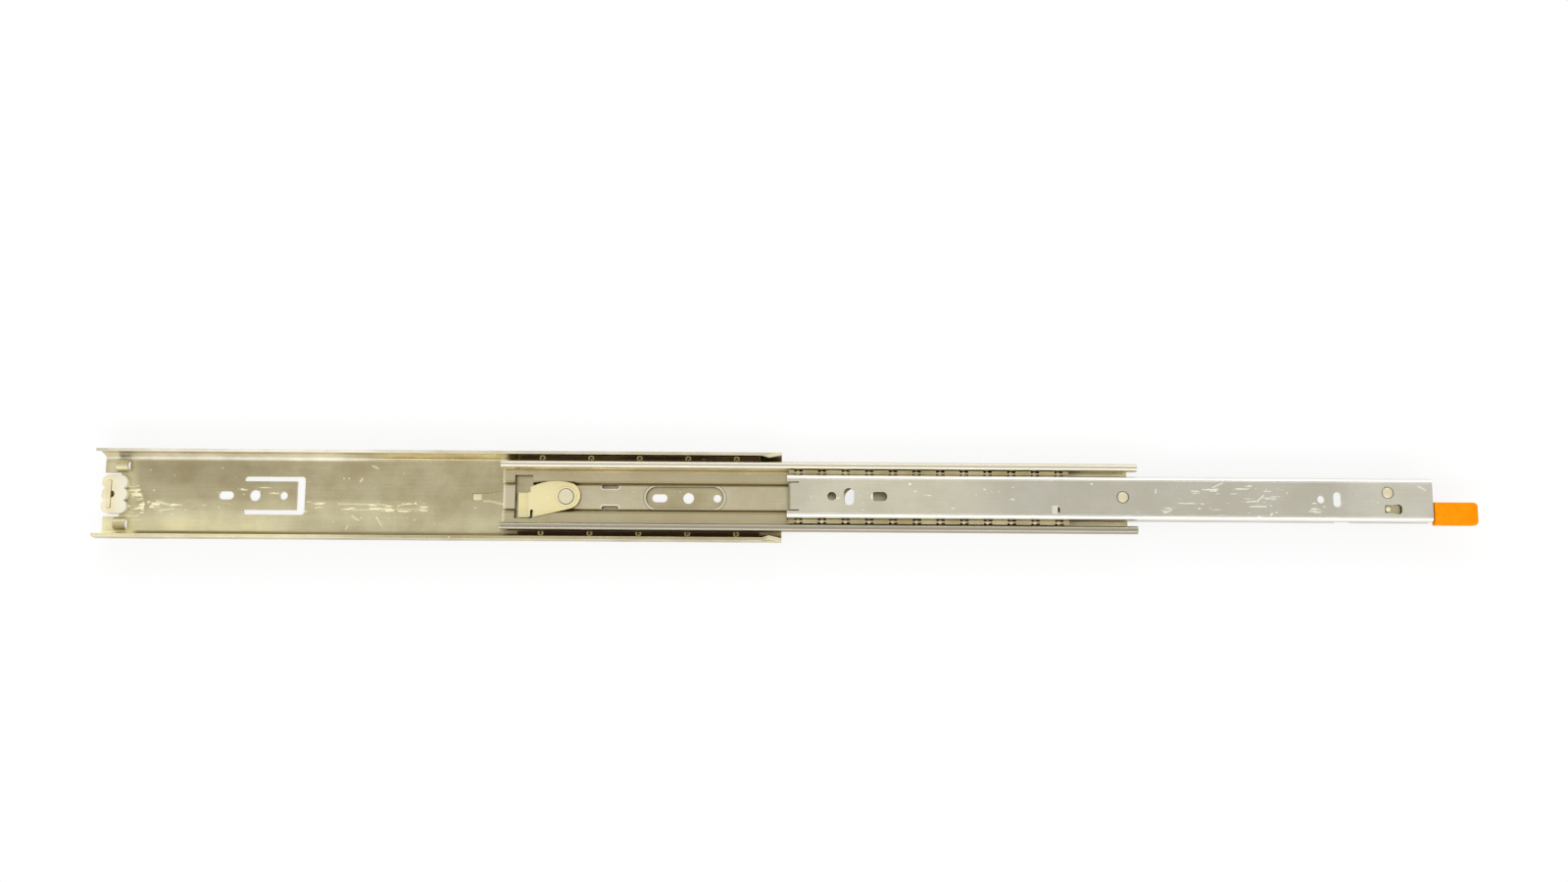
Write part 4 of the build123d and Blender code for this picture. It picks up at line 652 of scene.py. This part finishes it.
STEEL = {
    # what every plated piece has unless its own row says otherwise
    "rub_and_highlight": BRIGHT_RUB_AND_HIGHLIGHT,          # colour of rubbed strokes and nicks, and of the edges, which are rubbed and painted highlights
    "scuff": 0.2,               # how scuffed it is all over
    "wear": (),                 # and where it is more so
    "pale": (),                 # matt spots of another colour, most of them painted sheen, highlights and shade
    "painted_light": (),                 # spots of painted light and shade that are as bright or dull as the rest
    "nicks": (),                # bright marks: nicks, and painted highlights on rims and edges
    "shade_outlines": (),                # dark outlines of painted shade round holes and heads
    "rough": (0.38, 0.26),      # where the plating is dull, and where it is bright
    "edge": 0.4,                # rounding of its edges, mm, which also sets the width of their rubbed and highlighted band
    "rolling": 0.3,             # strength of the rolling lines
    "gap_shade": GAP_SHADE_REACH,       # gaps up to this size get painted shade
}


def steel_colour(tree, position, plating, finish, edges):
    """Colour of plated steel with painted shade in gaps and outlines, spots of painted light and shade,
    rubbed wear with painted edge highlights, and the mask of its matt places.
    """
    grain = arithmetic(tree, "ADD", arithmetic(tree, "MULTIPLY", plating.outputs["Polish"], 0.35), 0.65)
    # Painted shade: dark outlines, and darkening in narrow gaps and inner corners
    painted_shade = arithmetic(tree, "MULTIPLY", stroke_sum(tree, position, finish["shade_outlines"]), OUTLINE_SHADE)
    if finish["gap_shade"]:
        gaps = gap_shade_mask(tree, position, finish["gap_shade"], STEEL_GAP_SHADE)
        painted_shade = arithmetic(tree, "MAXIMUM", gaps, painted_shade)
    colour = blend_colours(tree, painted_shade, plating.outputs["Colour"], shade(SHADE_BROWN))
    colour, matt = lay_spots(tree, position, colour, finish["pale"], grain)
    amount = wear_amount(tree, position, finish["scuff"], finish["wear"])
    scuffs = add_node(tree, "ShaderNodeGroup", {"Position": position, "Amount": amount}, node_tree=SCUFFS)
    marks = arithmetic(tree, "MULTIPLY", stroke_sum(tree, position, finish["nicks"]), grain)
    marks = arithmetic(tree, "MULTIPLY", marks, front_mask(tree, position))
    # Rubbed wear, with painted highlights on edges and marks, all in the rub colour
    worn_and_lit = arithmetic(tree, "MAXIMUM", edges.outputs["Mask"], scuffs.outputs["Mask"])
    worn_and_lit = arithmetic(tree, "MAXIMUM", worn_and_lit, marks)
    colour = blend_colours(tree, worn_and_lit, colour, shade(finish["rub_and_highlight"]))
    # Spots of painted light and shade, laid last
    colour, _ = lay_spots(tree, position, colour, finish["painted_light"], 1.0)
    return colour, arithmetic(tree, "MAXIMUM", matt, worn_and_lit)


def plated_steel(name, tone, deep, **own):
    """Plated sheet steel: cloudy tone, rolling lines, scuffs, rubbed edges with painted highlights, spots
    of painted light and shade, and painted shade in the gaps.
    """
    finish = {**STEEL, **own}
    material, tree, shader = new_material(name)
    position = add_node(tree, "ShaderNodeTexCoord").outputs["Object"]
    tones = {"Tone": shade(tone), "Deep tone": shade(deep), "Rolling": finish["rolling"]}
    plating = add_node(tree, "ShaderNodeGroup", {"Position": position, **tones}, node_tree=PLATING)
    rounding = {"Position": position, "Radius": finish["edge"] * MM}
    edges = add_node(tree, "ShaderNodeGroup", rounding, node_tree=EDGE_WEAR_AND_HIGHLIGHT)
    colour, matt = steel_colour(tree, position, plating, finish, edges)
    dull, bright = finish["rough"]
    polish = add_node(
        tree,
        "ShaderNodeMapRange",
        {"Value": plating.outputs["Polish"], "To Min": dull, "To Max": bright},
    ).outputs["Result"]
    rough = add_node(
        tree, "ShaderNodeMapRange", {"Value": matt, "To Min": polish, "To Max": MATT}
    ).outputs["Result"]
    height = arithmetic(tree, "ADD", plating.outputs["Height"], arithmetic(tree, "MULTIPLY", matt, 0.3))
    shader.inputs["Metallic"].default_value = 1.0
    finish_surface(tree, shader, colour, rough, height, edges.outputs["Normal"], STEEL_BUMP)
    return material


def moulded_plastic(name, tone, deep, rub_and_highlight, rough, shine, pale=None):
    """Moulded plastic: soft tone changes, fine skin, paler edges of rubbed wear and painted highlight, and
    painted shade in the gaps.
    """
    material, tree, shader = new_material(name)
    position = add_node(tree, "ShaderNodeTexCoord").outputs["Object"]
    cloud = between(tree, noise(tree, position, MOULD_CLOUD_SCALE, 3.0), 0.3, 0.7)
    skin = noise(tree, position, MOULD_SKIN_SCALE, 2.0)
    edges = add_node(
        tree,
        "ShaderNodeGroup",
        {"Position": position, "Radius": 0.5 * MM, "Reach": 0.5},
        node_tree=EDGE_WEAR_AND_HIGHLIGHT,
    )
    colour = blend_colours(tree, cloud, shade(deep), shade(tone))
    if pale:
        patch, pale_tone = pale
        share = arithmetic(tree, "MULTIPLY", spot_mask(tree, position, patch), 0.9)
        colour = blend_colours(tree, share, colour, shade(pale_tone))
    # Paler edges: rubbed wear and a painted highlight
    rubbed = arithmetic(tree, "MULTIPLY", edges.outputs["Mask"], 0.5)
    colour = blend_colours(tree, rubbed, colour, shade(rub_and_highlight))
    # Painted shade in narrow gaps and inner corners
    gaps = gap_shade_mask(tree, position, GAP_SHADE_REACH, PLASTIC_GAP_SHADE)
    colour = blend_colours(tree, gaps, colour, shade(SHADE_BROWN))
    dull, bright = rough
    polish = add_node(
        tree, "ShaderNodeMapRange", {"Value": skin, "To Min": dull, "To Max": bright}
    ).outputs["Result"]
    shader.inputs["Specular IOR Level"].default_value = shine
    finish_surface(tree, shader, colour, polish, skin, edges.outputs["Normal"], PLASTIC_BUMP)
    return material


def make_finishes():
    """Every finish of the slide, by the name of its slot."""
    steel = {
        "cabinet_steel": (
            CABINET_TONE,
            CABINET_DEEP,
            {
                "rub_and_highlight": CREAM_RUB_AND_HIGHLIGHT,
                "scuff": 0.12,
                "wear": CABINET_WEAR,
                "pale": CABINET_PALE,
                "painted_light": CABINET_PAINTED_LIGHT,
                "nicks": CABINET_NICKS_AND_HIGHLIGHTS,
                "gap_shade": DEEP_GAP_SHADE_REACH,
            },
        ),
        "intermediate_steel": (
            MIDDLE_TONE,
            MIDDLE_DEEP,
            {
                "scuff": 0.1,
                "edge": 0.3,
                "pale": MIDDLE_PALE,
                "painted_light": MIDDLE_PAINTED_LIGHT,
                "nicks": MIDDLE_HIGHLIGHTS_AND_NICKS,
                "shade_outlines": MIDDLE_SHADE_OUTLINES,
            },
        ),
        "drawer_steel": (
            DRAWER_TONE,
            DRAWER_DEEP,
            {
                "scuff": 0.15,
                "wear": DRAWER_WEAR,
                "pale": DRAWER_PALE,
                "painted_light": DRAWER_PAINTED_LIGHT,
                "nicks": DRAWER_NICKS,
                "shade_outlines": DRAWER_SHADE_RINGS,
            },
        ),
        "fitting_steel": (FITTING_TONE, FITTING_DEEP, {"pale": FITTING_PALE}),
        "latch_steel": (
            LATCH_TONE,
            LATCH_DEEP,
            {"scuff": 0.1, "nicks": LATCH_NICKS, "rough": (0.62, 0.5)},
        ),
        "rivet_steel": (RIVET_TONE, RIVET_DEEP, {"rolling": 0.0, "edge": 1.1, "rough": (0.55, 0.4)}),
        "spring_wire": (WIRE_TONE, WIRE_DEEP, {"edge": 0.1}),
        "outer_cage_steel": (
            CAGE_TONE,
            CAGE_DEEP,
            {"rub_and_highlight": CAGE_RUB_AND_GLINT, "rough": (0.55, 0.4), "nicks": CAGE_GLINTS, "pale": CAGE_LOWER_SHADE},
        ),
        "inner_cage_steel": (BRASS_TONE, BRASS_DEEP, {}),
        "ball_steel": (
            BALL_TONE,
            BALL_DEEP,
            {"scuff": 0.0, "rough": (0.16, 0.08), "edge": 0.05, "rolling": 0.0, "gap_shade": 0.0},
        ),
    }
    finishes = {name: plated_steel(name, tone, deep, **more) for name, (tone, deep, more) in steel.items()}
    finishes["bumper_plastic"] = moulded_plastic(
        "bumper_plastic",
        BUMPER_TONE,
        BUMPER_DEEP,
        BUMPER_RUB_AND_HIGHLIGHT,
        (0.5, 0.36),
        0.4,
        (BUMPER_FRONT, BUMPER_PALE),
    )
    finishes["cap_plastic"] = moulded_plastic(
        "cap_plastic", CAP_TONE, CAP_DEEP, CAP_RUB_AND_HIGHLIGHT, (0.45, 0.35), 0.05
    )
    return finishes


# Pieces made here


def geometry_tree(name, inputs):
    """An empty geometry tree with named sizes, and its two end nodes."""
    tree = bpy.data.node_groups.new(name, "GeometryNodeTree")
    tree.interface.new_socket("Geometry", in_out="INPUT", socket_type="NodeSocketGeometry")
    for label, kind in inputs:
        tree.interface.new_socket(label, in_out="INPUT", socket_type=kind)
    tree.interface.new_socket("Geometry", in_out="OUTPUT", socket_type="NodeSocketGeometry")
    return tree, add_node(tree, "NodeGroupInput"), add_node(tree, "NodeGroupOutput")


def close_tree(tree, end, geometry, material):
    """Ends a geometry tree in plain, smooth, finished mesh."""
    real = add_node(tree, "GeometryNodeRealizeInstances", {"Geometry": geometry})
    smooth = add_node(tree, "GeometryNodeSetShadeSmooth", {"Geometry": real.outputs["Geometry"]})
    finish = add_node(tree, "GeometryNodeSetMaterial", {"Geometry": smooth.outputs["Geometry"]})
    finish.inputs["Material"].default_value = material
    tree.links.new(finish.outputs["Geometry"], end.inputs["Geometry"])


def grow(name, source, tree, sizes):
    """Runs a geometry tree on a source mesh and keeps the result as a plain piece."""
    maker = bpy.data.objects.new(name + "_maker", source)
    bpy.context.scene.collection.objects.link(maker)
    modifier = maker.modifiers.new("maker", "NODES")
    modifier.node_group = tree
    for item in tree.interface.items_tree:
        if item.in_out == "INPUT" and item.name in sizes:
            modifier[item.identifier] = sizes[item.name]
    graph = bpy.context.evaluated_depsgraph_get()
    mesh = bpy.data.meshes.new_from_object(maker.evaluated_get(graph), depsgraph=graph)
    bpy.data.objects.remove(maker)
    mesh.name = name
    piece = bpy.data.objects.new(name, mesh)
    bpy.context.scene.collection.objects.link(piece)
    return piece


def make_ball_tree(material):
    """Two mirrored rows of balls along the slide."""
    tree, start, end = geometry_tree(
        "ball_rows",
        [
            ("Count", "NodeSocketInt"),
            ("First", "NodeSocketFloat"),
            ("Pitch", "NodeSocketFloat"),
            ("Side", "NodeSocketFloat"),
            ("Height", "NodeSocketFloat"),
            ("Radius", "NodeSocketFloat"),
        ],
    )
    size = start.outputs
    step = add_node(tree, "ShaderNodeCombineXYZ", {"X": size["Pitch"]}).outputs[0]
    rows = add_node(tree, "GeometryNodeJoinGeometry")
    for side in (1.0, -1.0):
        across = arithmetic(tree, "MULTIPLY", size["Side"], side)
        first = add_node(
            tree, "ShaderNodeCombineXYZ", {"X": size["First"], "Y": across, "Z": size["Height"]}
        ).outputs[0]
        row = add_node(
            tree, "GeometryNodeMeshLine", {"Count": size["Count"], "Start Location": first, "Offset": step}
        )
        tree.links.new(row.outputs["Mesh"], rows.inputs["Geometry"])
    ball = add_node(
        tree,
        "GeometryNodeMeshUVSphere",
        {"Segments": BALL_SEGMENTS, "Rings": BALL_RINGS, "Radius": size["Radius"]},
    )
    placed = add_node(
        tree,
        "GeometryNodeInstanceOnPoints",
        {"Points": rows.outputs["Geometry"], "Instance": ball.outputs["Mesh"]},
    )
    close_tree(tree, end, placed.outputs["Instances"], material)
    return tree


def make_balls(finish):
    """The rolling balls of both pairs of races."""
    tree = make_ball_tree(finish)
    for name, sizes in (("outer", OUTER_BALLS), ("inner", INNER_BALLS)):
        balls = grow(name + "_balls", bpy.data.meshes.new("seed"), tree, sizes)
        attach(balls, name + "_cages")
        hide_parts(name + "_balls_upper", name + "_balls_lower")


def spring_line():
    """The middle line of the spring wire: hook, long leg, turns and short leg."""
    along = Vector((math.cos(LEG_HEADING), math.sin(LEG_HEADING), 0.0))
    out = Vector((along.y, -along.x, 0.0)) * COIL_D / 2
    up = Vector((0.0, 0.0, 1.0))
    leave = POST_PLACE + out
    hook = leave - along * LONG_LEG
    line = [hook + up * HOOK_TOP]
    for step in range(HOOK_STEPS + 1):
        turn = math.pi / 2 * step / HOOK_STEPS
        reach = HOOK_BEND * (1 - math.cos(turn))
        line.append(hook + along * reach + up * (COIL_TOP + HOOK_BEND * (1 - math.sin(turn))))
    start = math.atan2(out.y, out.x)
    for step in range(COIL_TURNS * COIL_STEPS + 1):
        share = step / (COIL_TURNS * COIL_STEPS)
        angle = start + share * COIL_TURNS * math.tau
        ring = Vector((math.cos(angle), math.sin(angle), 0.0)) * COIL_D / 2
        line.append(POST_PLACE + ring + up * (COIL_TOP + share * (COIL_FOOT - COIL_TOP)))
    line.append(leave + along * SHORT_LEG + up * COIL_FOOT)
    return line


def make_spring(finish):
    """The torsion spring, a round wire drawn along its middle line."""
    line = spring_line()
    path = bpy.data.meshes.new("spring_line")
    path.from_pydata(line, [(i, i + 1) for i in range(len(line) - 1)], [])
    tree, start, end = geometry_tree("round_wire", [("Wire radius", "NodeSocketFloat")])
    curve = add_node(tree, "GeometryNodeMeshToCurve", {"Mesh": start.outputs["Geometry"]})
    circle = add_node(
        tree,
        "GeometryNodeCurvePrimitiveCircle",
        {"Resolution": WIRE_SIDES, "Radius": start.outputs["Wire radius"]},
    )
    wire = add_node(
        tree,
        "GeometryNodeCurveToMesh",
        {"Curve": curve.outputs["Curve"], "Profile Curve": circle.outputs["Curve"], "Fill Caps": True},
    )
    close_tree(tree, end, wire.outputs["Mesh"], finish)
    spring = grow("lock_spring_wire", path, tree, {"Wire radius": WIRE_D / 2})
    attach(spring, "drawer")
    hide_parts("lock_spring")


def dress_nodes(nodes, record, finishes):
    """Gives each solid of the source the finish of its slot."""
    for part in record["subparts"]:
        mesh = nodes[part["node"]].data
        mesh.materials.clear()
        mesh.materials.append(finishes[part["material_slot"]])


# Floor, light and camera


def seen_rays(tree):
    """1 for what the eye, a reflection or a clear piece shows, 0 for light on its way."""
    path = add_node(tree, "ShaderNodeLightPath")
    seen = arithmetic(tree, "MAXIMUM", path.outputs["Is Camera Ray"], path.outputs["Is Glossy Ray"])
    return arithmetic(tree, "MAXIMUM", seen, path.outputs["Is Transmission Ray"])


def make_floor():
    """A plain pale floor that is clear from below, so the back can be seen."""
    mesh = bpy.data.meshes.new("floor")
    corners = [(-FLOOR_HALF, -FLOOR_HALF), (FLOOR_HALF, -FLOOR_HALF)]
    corners += [(FLOOR_HALF, FLOOR_HALF), (-FLOOR_HALF, FLOOR_HALF)]
    mesh.from_pydata([(x, y, -FLOOR_DROP) for x, y in corners], [], [(0, 1, 2, 3)])
    material, tree, shader = new_material("pale_floor")
    shader.inputs["Base Color"].default_value = FLOOR_COLOUR
    shader.inputs["Roughness"].default_value = FLOOR_ROUGH
    shader.inputs["Specular IOR Level"].default_value = 0.0
    white = add_node(tree, "ShaderNodeEmission", {"Color": WHITE, "Strength": 1.0})
    share = arithmetic(tree, "MULTIPLY", seen_rays(tree), FLOOR_GLOW)
    pale = add_node(
        tree, "ShaderNodeMixShader", {0: share, 1: shader.outputs["BSDF"], 2: white.outputs["Emission"]}
    )
    clear = add_node(tree, "ShaderNodeBsdfTransparent")
    below = add_node(tree, "ShaderNodeNewGeometry").outputs["Backfacing"]
    mix = add_node(
        tree, "ShaderNodeMixShader", {0: below, 1: pale.outputs["Shader"], 2: clear.outputs["BSDF"]}
    )
    output = next(node for node in tree.nodes if node.type == "OUTPUT_MATERIAL")
    tree.links.new(mix.outputs["Shader"], output.inputs["Surface"])
    mesh.materials.append(material)
    floor = bpy.data.objects.new("floor", mesh)
    bpy.context.scene.collection.objects.link(floor)


def make_world():
    """A soft studio sky: white at the horizon, calmer overhead."""
    world = bpy.data.worlds.new("studio")
    world.use_nodes = True
    tree = world.node_tree
    tree.nodes.clear()
    direction = add_node(tree, "ShaderNodeTexCoord").outputs["Generated"]
    height = add_node(tree, "ShaderNodeSeparateXYZ", {"Vector": direction}).outputs["Z"]
    level = add_node(
        tree, "ShaderNodeMapRange", {"Value": height, "To Min": SKY_LOW, "To Max": SKY_HIGH}
    ).outputs["Result"]
    sky = add_node(tree, "ShaderNodeBackground", {"Color": WHITE, "Strength": level})
    output = add_node(tree, "ShaderNodeOutputWorld")
    tree.links.new(sky.outputs["Background"], output.inputs["Surface"])
    bpy.context.scene.world = world


def make_lamps():
    """Long soft boxes beside the slide, so that its bends catch bright lines."""
    for name, (place, aim, length, width, watts) in LAMPS.items():
        lamp = bpy.data.lights.new(name, "AREA")
        lamp.shape = "RECTANGLE"
        lamp.size = length
        lamp.size_y = width
        lamp.energy = watts
        holder = bpy.data.objects.new(name, lamp)
        holder.location = place
        towards = Vector(aim) - Vector(place)
        holder.rotation_euler = towards.to_track_quat("-Z", "Y").to_euler()
        bpy.context.scene.collection.objects.link(holder)


def make_camera():
    """The camera where the photograph was taken from."""
    data = bpy.data.cameras.new("camera")
    data.lens = CAMERA_LENS
    data.sensor_width = CAMERA_SENSOR
    data.clip_start = CAMERA_NEAR
    data.clip_end = CAMERA_FAR
    camera = bpy.data.objects.new("camera", data)
    camera.location = CAMERA_PLACE
    camera.rotation_euler = [math.radians(angle) for angle in CAMERA_TURN]
    bpy.context.scene.collection.objects.link(camera)
    bpy.context.scene.camera = camera


def build():
    """Everything in the scene, in order."""
    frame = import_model()
    bpy.context.scene.view_settings.view_transform = "Standard"
    make_camera()
    finishes = make_finishes()
    dress_nodes(frame["nodes"], frame["record"], finishes)
    make_balls(finishes["ball_steel"])
    make_spring(finishes["spring_wire"])
    make_floor()
    make_world()
    make_lamps()


build()
